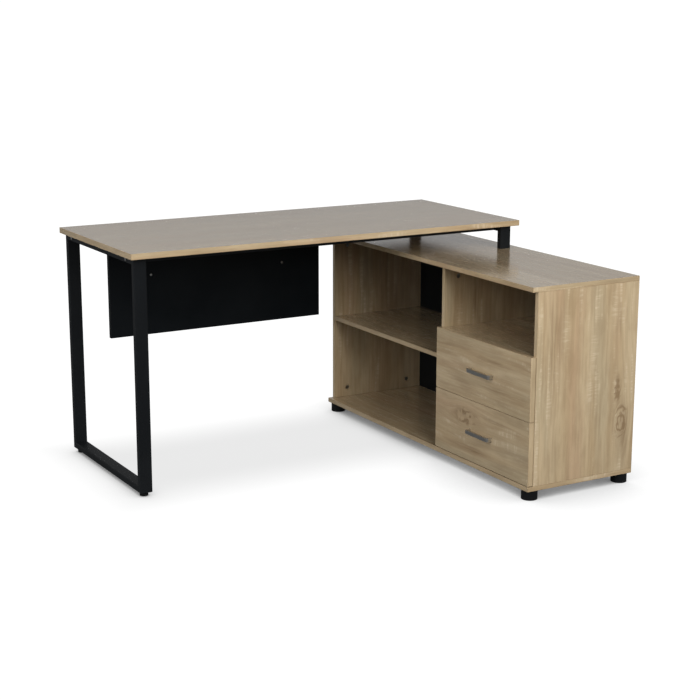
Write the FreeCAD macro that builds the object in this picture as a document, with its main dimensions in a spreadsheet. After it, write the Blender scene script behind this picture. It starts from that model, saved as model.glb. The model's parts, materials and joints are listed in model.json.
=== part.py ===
import FreeCAD, Part
import Sketcher
import os

# Corner desk: a desktop on a closed steel frame at its left end and on a low steel riser at
# its right end. The riser stands on a cabinet that runs at right angles to the desktop, with
# two open compartments, an open bay and two drawers on ball-bearing slides.
#
# Frame: +X runs right along the desktop, +Y from the user's edge to the back, +Z up, and the
# origin is on the floor under the centre of the whole object's box. The cabinet's open side
# faces -X. "near" and "far" are the cabinet's -Y and +Y ends; a drawer's left and right are
# those of a person who faces it. Millimetres.

DIMENSIONS = (
    ("desk_length", 1385, "desktop, left to right"),
    ("desk_depth", 600, "desktop, front to back"),
    ("desk_height", 750, "desktop's top face above the floor"),
    ("desk_board", 18, "desktop thickness"),
    ("board", 15, "cabinet board thickness"),
    ("edge_round", 0.8, "rounding of the boards' edges"),
    ("tube_wide", 40, "steel tube, wide side"),
    ("tube_thin", 20, "steel tube, narrow side"),
    ("tube_wall", 1.5, "steel tube wall"),
    ("tube_round", 2.5, "steel tube corner radius"),
    ("frame_side", 17, "frames set in from the desktop's ends"),
    ("frame_front", 25, "frames set back from the desktop's front edge"),
    ("frame_back", 8, "frames set in from the desktop's back edge"),
    ("frame_clear", 13, "left frame's bottom bar above the floor"),
    ("beam_front", 85, "front beam's centre line behind the front edge"),
    ("beam_rear", 535, "rear beam's centre line behind the front edge"),
    ("plug_thick", 4, "threaded plate welded into a tube's end"),
    ("glide_across", 26, "levelling glide's foot, diameter"),
    ("glide_foot", 10, "levelling glide's foot, height"),
    ("glide_neck", 14, "levelling glide's neck, diameter"),
    ("glide_stem", 8, "levelling glide's threaded stem, diameter"),
    ("glide_gap", 0.3, "gap between the glide's neck and its nut"),
    ("glide_in", 21, "glide's axis in from the end of the frame"),
    ("glide_round", 1.5, "levelling glide's foot, rounding"),
    ("glide_reach", 16, "levelling glide's stem, length above its neck"),
    ("nut_flange", 1, "rivet nut's flange, thickness"),
    ("nut_rim", 2, "rivet nut's flange, width around the barrel"),
    ("nut_across", 11, "rivet nut's barrel, diameter"),
    ("nut_deep", 13, "rivet nut's barrel, length"),
    ("screen_left", 136, "modesty panel's left edge from the desktop's left edge"),
    ("screen_width", 778, "modesty panel, left to right"),
    ("screen_height", 320, "modesty panel, bottom to top"),
    ("screen_low", 382, "modesty panel's bottom edge above the floor"),
    ("screen_bracket", 146, "bracket's centre line in from the panel's edge"),
    ("bracket_wide", 40, "hanging bracket, width"),
    ("bracket_sheet", 3, "hanging bracket, thickness"),
    ("bracket_drop", 152, "hanging bracket, height"),
    ("bracket_hole_low", 21.3, "hanging bracket, lower screw above its end"),
    ("bracket_hole_high", 100.3, "hanging bracket, upper screw above its end"),
    ("cabinet_left", 1007, "cabinet's open side from the desktop's left edge"),
    ("cabinet_depth", 400, "cabinet, open side to back"),
    ("cabinet_length", 1214, "cabinet, near end to far end"),
    ("cabinet_behind", 26, "cabinet's far end past the desktop's back edge"),
    ("cabinet_height", 654, "cabinet's top face above the floor"),
    ("carcass_back", 19, "upright panels set back from the top's open edge"),
    ("drawer_bay", 476, "clear width of the drawer bay"),
    ("bay_shelf_low", 428, "underside of the shelf over the drawers"),
    ("foot_across", 50, "cabinet foot, diameter"),
    ("foot_high", 30, "cabinet foot, height"),
    ("foot_in", 27, "cabinet foot's axis in from the cabinet's sides"),
    ("foot_round", 1.2, "cabinet foot, rounding"),
    ("front_low", 47, "lower drawer front's bottom edge above the floor"),
    ("front_high", 198, "drawer front, height"),
    ("front_gap", 1, "gap between the drawer fronts"),
    ("front_board", 18, "drawer front thickness"),
    ("front_lap", 13, "drawer front's overlap on the divider"),
    ("side_board", 12, "drawer side and back thickness"),
    ("side_high", 120, "drawer side height"),
    ("side_lift", 25, "drawer side's bottom above the front's bottom"),
    ("floor_sheet", 3, "drawer floor thickness"),
    ("floor_lift", 8, "drawer floor above the side's bottom"),
    ("groove_deep", 6, "groove for the drawer floor, depth"),
    ("slide_length", 350, "drawer slide, length"),
    ("slide_space", 12.7, "drawer slide, thickness of the closed pair"),
    ("slide_sheet", 1.2, "drawer slide, sheet thickness"),
    ("slide_tall", 45, "drawer slide, outer member's height"),
    ("slide_outer_lip", 9.5, "drawer slide, outer member's lip from its wall"),
    ("slide_middle_wall", 1.7, "drawer slide, middle member's wall from the outer one's"),
    ("slide_middle_lip", 11, "drawer slide, middle member's lip from the outer wall"),
    ("slide_inner_lip", 4.5, "drawer slide, inner member's lip from the outer wall"),
    ("slide_ball", 2.8, "bearing ball, diameter"),
    ("race_gap", 0.6, "slide's ball race wider than its balls"),
    ("race_outer", 6, "outer ball race from the outer member's wall"),
    ("race_inner", 8, "inner ball race from the outer member's wall"),
    ("ball_pitch", 28, "bearing balls, spacing along a row"),
    ("ball_rear_row", 192.5, "outer race's first ball from the slide's front end"),
    ("ball_front_row", 17.5, "inner race's first ball from the slide's front end"),
    ("handle_long", 122, "bar handle, overall length"),
    ("handle_rise", 18, "bar handle, height above the drawer front"),
    ("handle_thick", 4, "bar handle, thickness of its grip"),
    ("handle_tall", 12, "bar handle, width of the strip"),
    ("handle_leg", 10, "bar handle, length of each leg along the strip"),
    ("handle_bend", 8, "bar handle, outer radius of its bends"),
    ("handle_inside", 5, "bar handle, inner radius of its bends"),
    ("handle_round", 1, "bar handle, rounding of the strip's edges"),
    ("handle_drop", 1, "handle below the middle of the drawer front"),
    ("bolt", 6, "frame bolt, diameter"),
    ("bolt_head", 11, "frame bolt's head, diameter"),
    ("bolt_head_high", 3.3, "frame bolt's head, height"),
    ("bolt_long", 48, "frame bolt, length under the head"),
    ("board_bolt_long", 25, "riser bolt, length under the head"),
    ("bracket_bolt_long", 12, "bracket bolt, length under the head"),
    ("wood_screw", 4.2, "desktop screw, diameter"),
    ("wood_screw_head", 9, "desktop screw's head, diameter"),
    ("wood_screw_long", 13.5, "desktop screw, length under the head"),
    ("screw_head_high", 2.8, "screw heads, height"),
    ("head_round", 0.6, "heads' rounding, as a share of their height"),
    ("recess_deep", 0.6, "driver recess, depth as a share of the head's height"),
    ("hex_reach", 0.21, "hex socket, middle to corner as a share of the head's diameter"),
    ("cross_reach", 0.27, "cross recess, middle to tip as a share of the head's diameter"),
    ("cross_half", 0.06, "cross recess, half an arm's width as a share of the head's diameter"),
    ("small_screw", 4, "panel and handle screws, diameter"),
    ("small_screw_head", 9, "panel and handle screws' heads, diameter"),
    ("screen_screw_long", 21, "modesty panel screw, length under the head"),
    ("handle_screw_long", 25, "handle screw, length under the head"),
    ("foot_screw", 5, "foot screw, diameter"),
    ("foot_screw_long", 20, "foot screw, length under the head"),
    ("foot_sink", 22, "counterbore in the foot, depth"),
    ("access", 11, "screwdriver hole in a tube's lower wall"),
    ("thread_gap", 0.1, "hole wider than the thread that it holds"),
    ("pass_gap", 0.5, "hole wider than the screw that it lets through"),
    ("hole_spare", 0.5, "blind hole deeper than the screw in it"),
    ("bar_screw", 0.28, "desktop screws in the bars, as a share of the depth from each edge"),
    ("cam_across", 15, "cam lock, hole diameter"),
    ("cam_deep", 12.5, "cam lock, hole depth"),
    ("cam_reach", 34, "cam lock's axis from the board's end"),
    ("cam_front", 52, "front cam lock behind the upright's front edge"),
    ("cam_rear", 307, "rear cam lock behind the upright's front edge"),
    ("cam_slot_half", 4, "cam lock's driver slots, middle to tip"),
    ("cam_slot_side", 0.7, "cam lock's driver slots, half their width"),
    ("cam_slot_deep", 1.6, "cam lock's driver slots, depth"),
    ("cam_past", 2.5, "cam bolt's opening in the cam lock past its middle"),
    ("cam_bolt", 5, "cam bolt's thread, diameter"),
    ("cam_shank", 6.8, "cam bolt's shank and head, diameter"),
    ("cam_neck", 4, "cam bolt's neck, diameter"),
    ("cam_neck_long", 6, "cam bolt's neck, length"),
    ("cam_head_in", 3, "cam bolt's head starts short of the cam lock's axis"),
    ("cam_head_long", 4, "cam bolt's head, length"),
    ("cam_bore", 8, "cam bolt's hole, diameter"),
    ("dowel", 8, "dowel, diameter"),
    ("dowel_round", 0.8, "dowel, rounding of its ends"),
    ("dowel_short", 0.5, "dowel's end short of the bottom of its hole"),
    ("dowel_aside", 32, "dowel beside its cam lock"),
    ("joint_deep", 11, "cam bolt's and dowel's hole in a board's face"),
    ("dowel_deep", 21, "dowel's hole in a board's end"),
)

doc = FreeCAD.newDocument("CornerDesk")
sheet = doc.addObject("Spreadsheet::Sheet", "Dims")
for row, (alias, value, meaning) in enumerate(DIMENSIONS, start=1):
    sheet.set(f"A{row}", meaning)
    sheet.set(f"B{row}", str(value))
    sheet.setAlias(f"B{row}", alias)
doc.recompute()

# Places that several sub-parts share, as expressions on the sheet. They are measured from the
# desktop's left edge, its front edge and the floor; place() moves them to the object's centre.
CENTRE_X = "(Dims.cabinet_left + Dims.cabinet_depth) / 2"
CABINET_FAR = "(Dims.desk_depth + Dims.cabinet_behind)"
CABINET_NEAR = f"({CABINET_FAR} - Dims.cabinet_length)"
CENTRE_Y = f"({CABINET_FAR} + {CABINET_NEAR}) / 2"
DESK_UNDER = "(Dims.desk_height - Dims.desk_board)"
FRAME_RIGHT = "(Dims.desk_length - Dims.frame_side - Dims.tube_wide)"
FRAME_LENGTH = "(Dims.desk_depth - Dims.frame_front - Dims.frame_back)"
FRAME_REAR = f"(Dims.frame_front + {FRAME_LENGTH})"
BEAM_LEFT = "(Dims.frame_side + Dims.tube_wide)"
CARCASS_LEFT = "(Dims.cabinet_left + Dims.carcass_back)"
CARCASS_DEPTH = "(Dims.cabinet_depth - Dims.carcass_back)"
INSIDE_DEPTH = f"({CARCASS_DEPTH} - Dims.board)"
INSIDE_LOW = "(Dims.foot_high + Dims.board)"
INSIDE_HEIGHT = f"(Dims.cabinet_height - Dims.board - {INSIDE_LOW})"
FAR_SHELF_LOW = f"({INSIDE_LOW} + ({INSIDE_HEIGHT} - Dims.board) / 2)"
BAY_NEAR = f"({CABINET_NEAR} + Dims.board)"
BAY_FAR = f"({BAY_NEAR} + Dims.drawer_bay)"
DIVIDER_FAR = f"({BAY_FAR} + Dims.board)"
FAR_PANEL = f"({CABINET_FAR} - Dims.board)"

# The beams, the screws up into the desktop, the modesty panel's brackets and the riser's posts.
BEAMS = ("beam_front", "beam_rear")
BAR_SCREWS = ("Dims.desk_depth * Dims.bar_screw", "Dims.desk_depth * (1 - Dims.bar_screw)")
BEAM_SCREWS = tuple(f"{FRAME_RIGHT} * {share}" for share in (0.27, 0.52, 0.77))
BRACKETS = (
    "(Dims.screen_left + Dims.screen_bracket)",
    "(Dims.screen_left + Dims.screen_width - Dims.screen_bracket)",
)
BRACKET_HOLES = ("Dims.bracket_hole_low", "Dims.bracket_hole_high")
POSTS = (
    "(Dims.frame_front + Dims.tube_thin / 2)",
    f"({FRAME_REAR} - Dims.tube_thin / 2)",
)

# The cabinet's upright boards: (name, near side, depth, side with the cam locks). The joints'
# places are measured from the uprights' front edges.
UPRIGHTS = (
    ("near_end_panel", CABINET_NEAR, CARCASS_DEPTH, "back"),
    ("divider_panel", BAY_FAR, INSIDE_DEPTH, "front"),
    ("far_end_panel", FAR_PANEL, CARCASS_DEPTH, "front"),
)
CAMS = ("Dims.cam_front", "Dims.cam_rear")
DOWELS = ("(Dims.cam_front + Dims.dowel_aside)", "(Dims.cam_rear - Dims.dowel_aside)")
CAM_BOLT_HOLE = ("Dims.cam_bolt + Dims.thread_gap", "Dims.joint_deep")
DOWEL_HOLE = ("Dims.dowel + Dims.thread_gap", "Dims.joint_deep")
BACK_DOWELS = tuple(f"{INSIDE_HEIGHT} * {share}" for share in (0.17, 0.5, 0.83))
BALLS_PER_ROW = 6
HANDLE_HOLE = "(Dims.handle_long - Dims.handle_leg) / 2"
TINY = 0.01

PLUS_X = FreeCAD.Vector(1, 0, 0)
PLUS_Y = FreeCAD.Vector(0, 1, 0)
PLUS_Z = FreeCAD.Vector(0, 0, 1)

# Each face of a board or tube: its sketch plane, the size that sets the plane's offset, the
# offset's sign, and whether a pocket has to be reversed to go into the material.
FACES = {
    "left": ("YZ_Plane", None, "", True),
    "right": ("YZ_Plane", 0, "", False),
    "front": ("XZ_Plane", None, "", False),
    "back": ("XZ_Plane", 1, "-", True),
    "bottom": ("XY_Plane", None, "", True),
    "top": ("XY_Plane", 2, "", False),
}

exported = []


def number(expression):
    """The value that an expression on the sheet has now."""
    return float(sheet.evalExpression(expression))


def keep(item, label):
    """Give a finished sub-part its own label, which names its file."""
    item.Label = label
    exported.append(item)
    return item


def place(item, corner):
    """Bind an item's position to the sheet."""
    item.setExpression("Placement.Base.x", f"{corner[0]} - {CENTRE_X}")
    item.setExpression("Placement.Base.y", f"{corner[1]} - {CENTRE_Y}")
    item.setExpression("Placement.Base.z", corner[2])


def turn(item, x_to, z_to):
    """Turn an item so that its own X and Z axes point along the given ones."""
    rotation = FreeCAD.Rotation(x_to, z_to.cross(x_to), z_to, "ZXY")
    item.Placement = FreeCAD.Placement(FreeCAD.Vector(), rotation)


def shift(point, direction, distance):
    """The point moved along one of the main directions."""
    signs = (direction.x, direction.y, direction.z)
    return tuple(
        base if abs(sign) < 0.5 else f"({base} + ({distance}) * {round(sign)})"
        for base, sign in zip(point, signs)
    )


def new_body(name):
    return doc.addObject("PartDesign::Body", name)


def new_sketch(body, role, level=None):
    """A sketch on one of the body's own origin planes, at the given level above it."""
    plane = next(item for item in body.Origin.OriginFeatures if item.Role == role)
    sketch = body.newObject("Sketcher::SketchObject", "Sketch")
    sketch.AttachmentSupport = [(plane, "")]
    sketch.MapMode = "FlatFace"
    if level:
        sketch.setExpression("AttachmentOffset.Base.z", level)
    return sketch


def pin_point(sketch, geometry, end, x, y):
    """Bind a point of the sketch to the sheet."""
    for kind, expression in (("DistanceX", x), ("DistanceY", y)):
        value = number(expression)
        index = sketch.addConstraint(Sketcher.Constraint(kind, -1, 1, geometry, end, value))
        sketch.setExpression(f"Constraints[{index}]", expression)


def add_polygon(sketch, points):
    """A closed outline of straight lines through the points."""
    first = sketch.GeometryCount
    corners = [FreeCAD.Vector(number(x), number(y), 0) for x, y in points]
    count = len(points)
    for index in range(count):
        line = Part.LineSegment(corners[index], corners[(index + 1) % count])
        sketch.addGeometry(line, False)
    for index in range(count):
        following = first + (index + 1) % count
        sketch.addConstraint(Sketcher.Constraint("Coincident", first + index, 2, following, 1))
    for index, (x, y) in enumerate(points):
        pin_point(sketch, first + index, 1, x, y)


def add_rectangle(sketch, low, high):
    add_polygon(sketch, [low, (high[0], low[1]), high, (low[0], high[1])])


def add_circle(sketch, centre, diameter):
    middle = FreeCAD.Vector(number(centre[0]), number(centre[1]), 0)
    circle = Part.Circle(middle, PLUS_Z, number(diameter) / 2)
    index = sketch.addGeometry(circle, False)
    pin_point(sketch, index, 3, *centre)
    constraint = Sketcher.Constraint("Diameter", index, number(diameter))
    size = sketch.addConstraint(constraint)
    sketch.setExpression(f"Constraints[{size}]", diameter)


def add_pad(body, sketch, length, reverse=False):
    pad = body.newObject("PartDesign::Pad", "Pad")
    pad.Profile = sketch
    pad.Reversed = reverse
    pad.setExpression("Length", length)
    doc.recompute()
    return pad


def add_pocket(body, sketch, depth, reverse):
    """Sink the sketch into the body, and check that it removed material."""
    before = body.Shape.Volume
    pocket = body.newObject("PartDesign::Pocket", "Pocket")
    pocket.Profile = sketch
    pocket.Reversed = reverse
    if depth:
        pocket.setExpression("Length", depth)
    else:
        pocket.Type = "ThroughAll"
    doc.recompute()
    if body.Shape.Volume >= before - TINY:
        raise RuntimeError(f"a pocket cut nothing from {body.Label}")
    return pocket


def round_edges(body, radius, wanted):
    """Round the edges of the body that pass the test."""
    tip = body.Tip
    names = [
        f"Edge{index}" for index, edge in enumerate(tip.Shape.Edges, start=1) if wanted(edge)
    ]
    fillet = body.newObject("PartDesign::Fillet", "Fillet")
    fillet.Base = (tip, names)
    fillet.setExpression("Radius", radius)
    doc.recompute()
    return fillet


def is_round(edge):
    return edge.Curve.TypeId == "Part::GeomCircle"


def add_disc(body, low, diameter, height):
    """A round step of a turned piece, from one level of its axis upward."""
    sketch = new_sketch(body, "XY_Plane", low)
    add_circle(sketch, ("0", "0"), diameter)
    return add_pad(body, sketch, height)


class Block:
    """A body that fills a box in its own frame, from its own origin to size."""

    def __init__(self, label, size, corner):
        self.size = size
        self.body = new_body(label)
        self.draw()
        place(self.body, corner)
        keep(self.body, label)

    def face_sketch(self, face):
        role, side, sign, reverse = FACES[face]
        level = None if side is None else f"{sign}({self.size[side]})"
        return new_sketch(self.body, role, level), reverse

    def drill(self, face, spots, diameter, depth):
        """Round holes sunk into a face at the given spots."""
        sketch, reverse = self.face_sketch(face)
        for spot in spots:
            add_circle(sketch, spot, diameter)
        add_pocket(self.body, sketch, depth, reverse)

    def groove(self, face, low, high, depth):
        """A straight-sided groove sunk into a face."""
        sketch, reverse = self.face_sketch(face)
        add_rectangle(sketch, low, high)
        add_pocket(self.body, sketch, depth, reverse)


class Board(Block):
    """A panel with slightly rounded edges."""

    def draw(self):
        sketch = new_sketch(self.body, "XY_Plane")
        add_rectangle(sketch, ("0", "0"), (self.size[0], self.size[1]))
        add_pad(self.body, sketch, self.size[2])
        round_edges(self.body, "Dims.edge_round", lambda edge: True)


class Tube(Block):
    """A rectangular steel tube along one axis, with rounded corners."""

    PLANES = {0: ("YZ_Plane", 1, 2), 1: ("XZ_Plane", 0, 2), 2: ("XY_Plane", 0, 1)}

    def __init__(self, label, axis, length, corner):
        self.axis = axis
        size = ["Dims.tube_wide", "Dims.tube_thin"]
        size.insert(axis, length)
        super().__init__(label, tuple(size), corner)

    def draw(self):
        role, first, second = self.PLANES[self.axis]
        width, height = self.size[first], self.size[second]
        wall = "Dims.tube_wall"
        sketch = new_sketch(self.body, role)
        add_rectangle(sketch, ("0", "0"), (width, height))
        add_rectangle(sketch, (wall, wall), (f"{width} - {wall}", f"{height} - {wall}"))
        add_pad(self.body, sketch, self.size[self.axis], reverse=self.axis == 1)
        limits = [number(size) for size in self.size]
        others = [axis for axis in range(3) if axis != self.axis]

        def on_corner(edge):
            middle = edge.CenterOfMass
            return all(min(abs(middle[a]), abs(middle[a] - limits[a])) < TINY for a in others)

        round_edges(self.body, "Dims.tube_round", on_corner)

    def mitre(self, corners):
        """Cut the corners off, seen along X, where the tube meets its neighbour at 45 degrees."""
        for corner in corners:
            sketch = new_sketch(self.body, "YZ_Plane")
            add_polygon(sketch, corner)
            add_pocket(self.body, sketch, None, True)


def frame_bar(label, length, corner, long_side_up):
    """A bar of a frame's loop, mitred at both ends."""
    bar = Tube(label, 1, length, corner)
    thin = "Dims.tube_thin"
    inner, outer = ("0", thin) if long_side_up else (thin, "0")
    near = [("0", inner), (thin, inner), ("0", outer)]
    far = [(length, inner), (f"{length} - {thin}", inner), (length, outer)]
    bar.mitre([near, far])
    return bar


def frame_upright(label, length, corner, faces_front, mitre_foot):
    """A leg or post of a frame, mitred at its top and, in a closed loop, at its foot."""
    leg = Tube(label, 2, length, corner)
    thin = "Dims.tube_thin"
    inner, outer = (thin, "0") if faces_front else ("0", thin)
    top = [(inner, length), (inner, f"{length} - {thin}"), (outer, length)]
    foot = [(inner, "0"), (inner, thin), (outer, "0")]
    leg.mitre([top, foot] if mitre_foot else [top])
    return leg


def hex_socket(head):
    """The outline of a hex key's socket in a head of the given diameter."""
    reach = f"{head} * Dims.hex_reach"
    turns = range(0, 360, 60)
    return [(f"{reach} * cos({angle} deg)", f"{reach} * sin({angle} deg)") for angle in turns]


def cross(reach, half):
    """The outline of two crossed slots: from the middle to a tip, and half a slot's width."""
    quarter = [(reach, half), (half, half), (half, reach)]
    points = []
    for _ in range(4):
        points += quarter
        quarter = [(f"-({y})", x) for x, y in quarter]
    return points


def cross_recess(head):
    """The outline of a cross-head driver's recess in a head of the given diameter."""
    return cross(f"{head} * Dims.cross_reach", f"{head} * Dims.cross_half")


def screw_pattern(name, diameter, length, head, head_high, recess):
    """One screw, pointing along its own +Z, with the underside of its head at its origin."""
    body = new_body(name)
    add_disc(body, None, diameter, length)
    sketch = new_sketch(body, "XY_Plane")
    add_circle(sketch, ("0", "0"), head)
    add_pad(body, sketch, head_high, reverse=True)
    top = -number(head_high)
    rim = number(head) / 2

    def is_rim(edge):
        return abs(edge.CenterOfMass.z - top) < TINY and abs(edge.Curve.Radius - rim) < TINY

    round_edges(body, f"{head_high} * Dims.head_round", is_rim)
    sketch = new_sketch(body, "XY_Plane", f"-({head_high})")
    add_polygon(sketch, recess(head))
    add_pocket(body, sketch, f"{head_high} * Dims.recess_deep", True)
    return body


def group(label, pattern, spots):
    """Copies of one fastener as separate solids of one sub-part: (place, X axis, Z axis)."""
    links = []
    for corner, x_to, z_to in spots:
        link = doc.addObject("App::Link", f"{label}_copy")
        link.LinkedObject = pattern
        turn(link, x_to, z_to)
        place(link, corner)
        links.append(link)
    compound = doc.addObject("Part::Compound", label)
    compound.Links = links
    return keep(compound, label)


def make_left_frame():
    """The closed loop under the desktop's left end, on two levelling glides."""
    left = "Dims.frame_side"
    height = f"({DESK_UNDER} - Dims.frame_clear)"
    top_low = f"({DESK_UNDER} - Dims.tube_thin)"
    rear = f"({FRAME_REAR} - Dims.tube_thin)"
    frame_upright(
        "left_frame_front_leg", height, (left, "Dims.frame_front", "Dims.frame_clear"), True, True
    )
    frame_upright("left_frame_rear_leg", height, (left, rear, "Dims.frame_clear"), False, True)
    top = frame_bar("left_frame_top_bar", FRAME_LENGTH, (left, "Dims.frame_front", top_low), True)
    drill_top_bar(top)
    bottom = frame_bar(
        "left_frame_bottom_bar", FRAME_LENGTH, (left, "Dims.frame_front", "Dims.frame_clear"), False
    )
    middle = "Dims.tube_wide / 2"
    spots = [(middle, "Dims.glide_in"), (middle, f"{FRAME_LENGTH} - Dims.glide_in")]
    bottom.drill("bottom", spots, "Dims.nut_across", "Dims.tube_wall")


def drill_top_bar(bar):
    """Holes across the bar for the beams' bolts, and up through it for the desktop screws."""
    across = [(f"Dims.{beam} - Dims.frame_front", "Dims.tube_thin / 2") for beam in BEAMS]
    bar.drill("left", across, "Dims.bolt + Dims.pass_gap", "Dims.tube_wide")
    upward = [("Dims.tube_wide / 2", f"{y} - Dims.frame_front") for y in BAR_SCREWS]
    bar.drill("bottom", upward, "Dims.wood_screw + Dims.pass_gap", "Dims.tube_thin")
    bar.drill("bottom", upward, "Dims.access", "Dims.tube_wall")


def make_glides():
    """The glides and the rivet nuts that their stems turn in."""
    nut = new_body("nut_pattern")
    add_disc(nut, None, "Dims.nut_across + 2 * Dims.nut_rim", "Dims.nut_flange")
    add_disc(nut, "Dims.nut_flange", "Dims.nut_across", "Dims.nut_deep")
    sketch = new_sketch(nut, "XY_Plane")
    add_circle(sketch, ("0", "0"), "Dims.glide_stem + Dims.thread_gap")
    add_pocket(nut, sketch, None, True)
    across = "(Dims.frame_side + Dims.tube_wide / 2)"
    places = {
        "front": "(Dims.frame_front + Dims.glide_in)",
        "rear": f"({FRAME_REAR} - Dims.glide_in)",
    }
    nut_low = "(Dims.frame_clear - Dims.nut_flange)"
    group("glide_nuts", nut, [((across, y, nut_low), PLUS_X, PLUS_Z) for y in places.values()])
    neck_top = f"({nut_low} - Dims.glide_gap)"
    for name, y in places.items():
        body = new_body(f"{name}_glide")
        add_disc(body, None, "Dims.glide_across", "Dims.glide_foot")
        round_edges(body, "Dims.glide_round", is_round)
        add_disc(body, "Dims.glide_foot", "Dims.glide_neck", f"{neck_top} - Dims.glide_foot")
        add_disc(body, neck_top, "Dims.glide_stem", "Dims.glide_reach")
        place(body, (across, y, "0"))
        keep(body, f"{name}_glide")


def make_riser():
    """The frame that stands on the cabinet's top and carries the desktop's right end."""
    height = f"({DESK_UNDER} - Dims.cabinet_height)"
    rear = f"({FRAME_REAR} - Dims.tube_thin)"
    top_low = f"({DESK_UNDER} - Dims.tube_thin)"
    low = "Dims.cabinet_height"
    frame_upright("riser_front_post", height, (FRAME_RIGHT, "Dims.frame_front", low), True, False)
    frame_upright("riser_rear_post", height, (FRAME_RIGHT, rear, low), False, False)
    corner = (FRAME_RIGHT, "Dims.frame_front", top_low)
    drill_top_bar(frame_bar("riser_top_bar", FRAME_LENGTH, corner, True))


def make_beams():
    """The two beams between the frames, with the threaded plates in all open tube ends."""
    length = f"({FRAME_RIGHT} - {BEAM_LEFT})"
    low = f"({DESK_UNDER} - Dims.tube_thin)"
    side = "Dims.tube_wide / 2"
    spots = [(f"{x} - {BEAM_LEFT}", side) for x in BEAM_SCREWS]
    beams = {}
    for name in BEAMS:
        corner = (BEAM_LEFT, f"(Dims.{name} - Dims.tube_wide / 2)", low)
        beam = Tube(f"{name.split('_')[1]}_beam", 0, length, corner)
        beam.drill("bottom", spots, "Dims.wood_screw + Dims.pass_gap", "Dims.tube_thin")
        beam.drill("bottom", spots, "Dims.access", "Dims.tube_wall")
        beams[name] = beam
    bolts = [
        (f"{x} {side_step} - {BEAM_LEFT}", "Dims.tube_wide / 4")
        for x in BRACKETS
        for side_step in ("- Dims.bracket_wide / 4", "+ Dims.bracket_wide / 4")
    ]
    beams["beam_rear"].drill("bottom", bolts, "Dims.bolt + Dims.thread_gap", "Dims.tube_wall")

    plate = new_body("plug_pattern")
    sketch = new_sketch(plate, "XY_Plane")
    half_wide = "(Dims.tube_wide / 2 - Dims.tube_wall)"
    half_thin = "(Dims.tube_thin / 2 - Dims.tube_wall)"
    add_rectangle(sketch, (f"-{half_wide}", f"-{half_thin}"), (half_wide, half_thin))
    add_circle(sketch, ("0", "0"), "Dims.bolt + Dims.thread_gap")
    add_pad(plate, sketch, "Dims.plug_thick")
    middle = f"({DESK_UNDER} - Dims.tube_thin / 2)"
    spots = [
        ((x, f"Dims.{name}", middle), PLUS_Y, PLUS_X)
        for name in BEAMS
        for x in (BEAM_LEFT, f"({FRAME_RIGHT} - Dims.plug_thick)")
    ]
    post_x = f"({FRAME_RIGHT} + Dims.tube_wide / 2)"
    spots += [((post_x, y, "Dims.cabinet_height"), PLUS_X, PLUS_Z) for y in POSTS]
    group("threaded_end_plates", plate, spots)


def make_frame_fasteners():
    """Bolts through the top bars, screws up into the desktop, and bolts up into the posts."""
    head = ("Dims.bolt_head", "Dims.bolt_head_high", hex_socket)
    bolt = screw_pattern("bolt_pattern", "Dims.bolt", "Dims.bolt_long", *head)
    middle = f"({DESK_UNDER} - Dims.tube_thin / 2)"
    right = f"({FRAME_RIGHT} + Dims.tube_wide)"
    spots = []
    for name in BEAMS:
        spots.append((("Dims.frame_side", f"Dims.{name}", middle), PLUS_Y, PLUS_X))
        spots.append(((right, f"Dims.{name}", middle), PLUS_Y, -PLUS_X))
    group("frame_bolts", bolt, spots)

    wood = screw_pattern(
        "wood_screw_pattern", "Dims.wood_screw", "Dims.wood_screw_long",
        "Dims.wood_screw_head", "Dims.screw_head_high", cross_recess,
    )
    seat = f"({DESK_UNDER} - Dims.tube_wall)"
    spots = [((x, y, seat), PLUS_X, PLUS_Z) for x, y in desktop_screw_spots()]
    group("desktop_screws", wood, spots)

    riser = screw_pattern("riser_bolt_pattern", "Dims.bolt", "Dims.board_bolt_long", *head)
    post_x = f"({FRAME_RIGHT} + Dims.tube_wide / 2)"
    under = "(Dims.cabinet_height - Dims.board)"
    group("riser_bolts", riser, [((post_x, y, under), PLUS_X, PLUS_Z) for y in POSTS])


def desktop_screw_spots():
    bars = ("(Dims.frame_side + Dims.tube_wide / 2)", f"({FRAME_RIGHT} + Dims.tube_wide / 2)")
    spots = [(x, f"({y})") for x in bars for y in BAR_SCREWS]
    spots += [(f"({x})", f"Dims.{name}") for name in BEAMS for x in BEAM_SCREWS]
    return spots


def make_desktop():
    size = ("Dims.desk_length", "Dims.desk_depth", "Dims.desk_board")
    desktop = Board("desktop", size, ("0", "0", DESK_UNDER))
    deep = "Dims.wood_screw_long - Dims.tube_wall + Dims.hole_spare"
    desktop.drill("bottom", desktop_screw_spots(), "Dims.wood_screw + Dims.thread_gap", deep)


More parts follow.
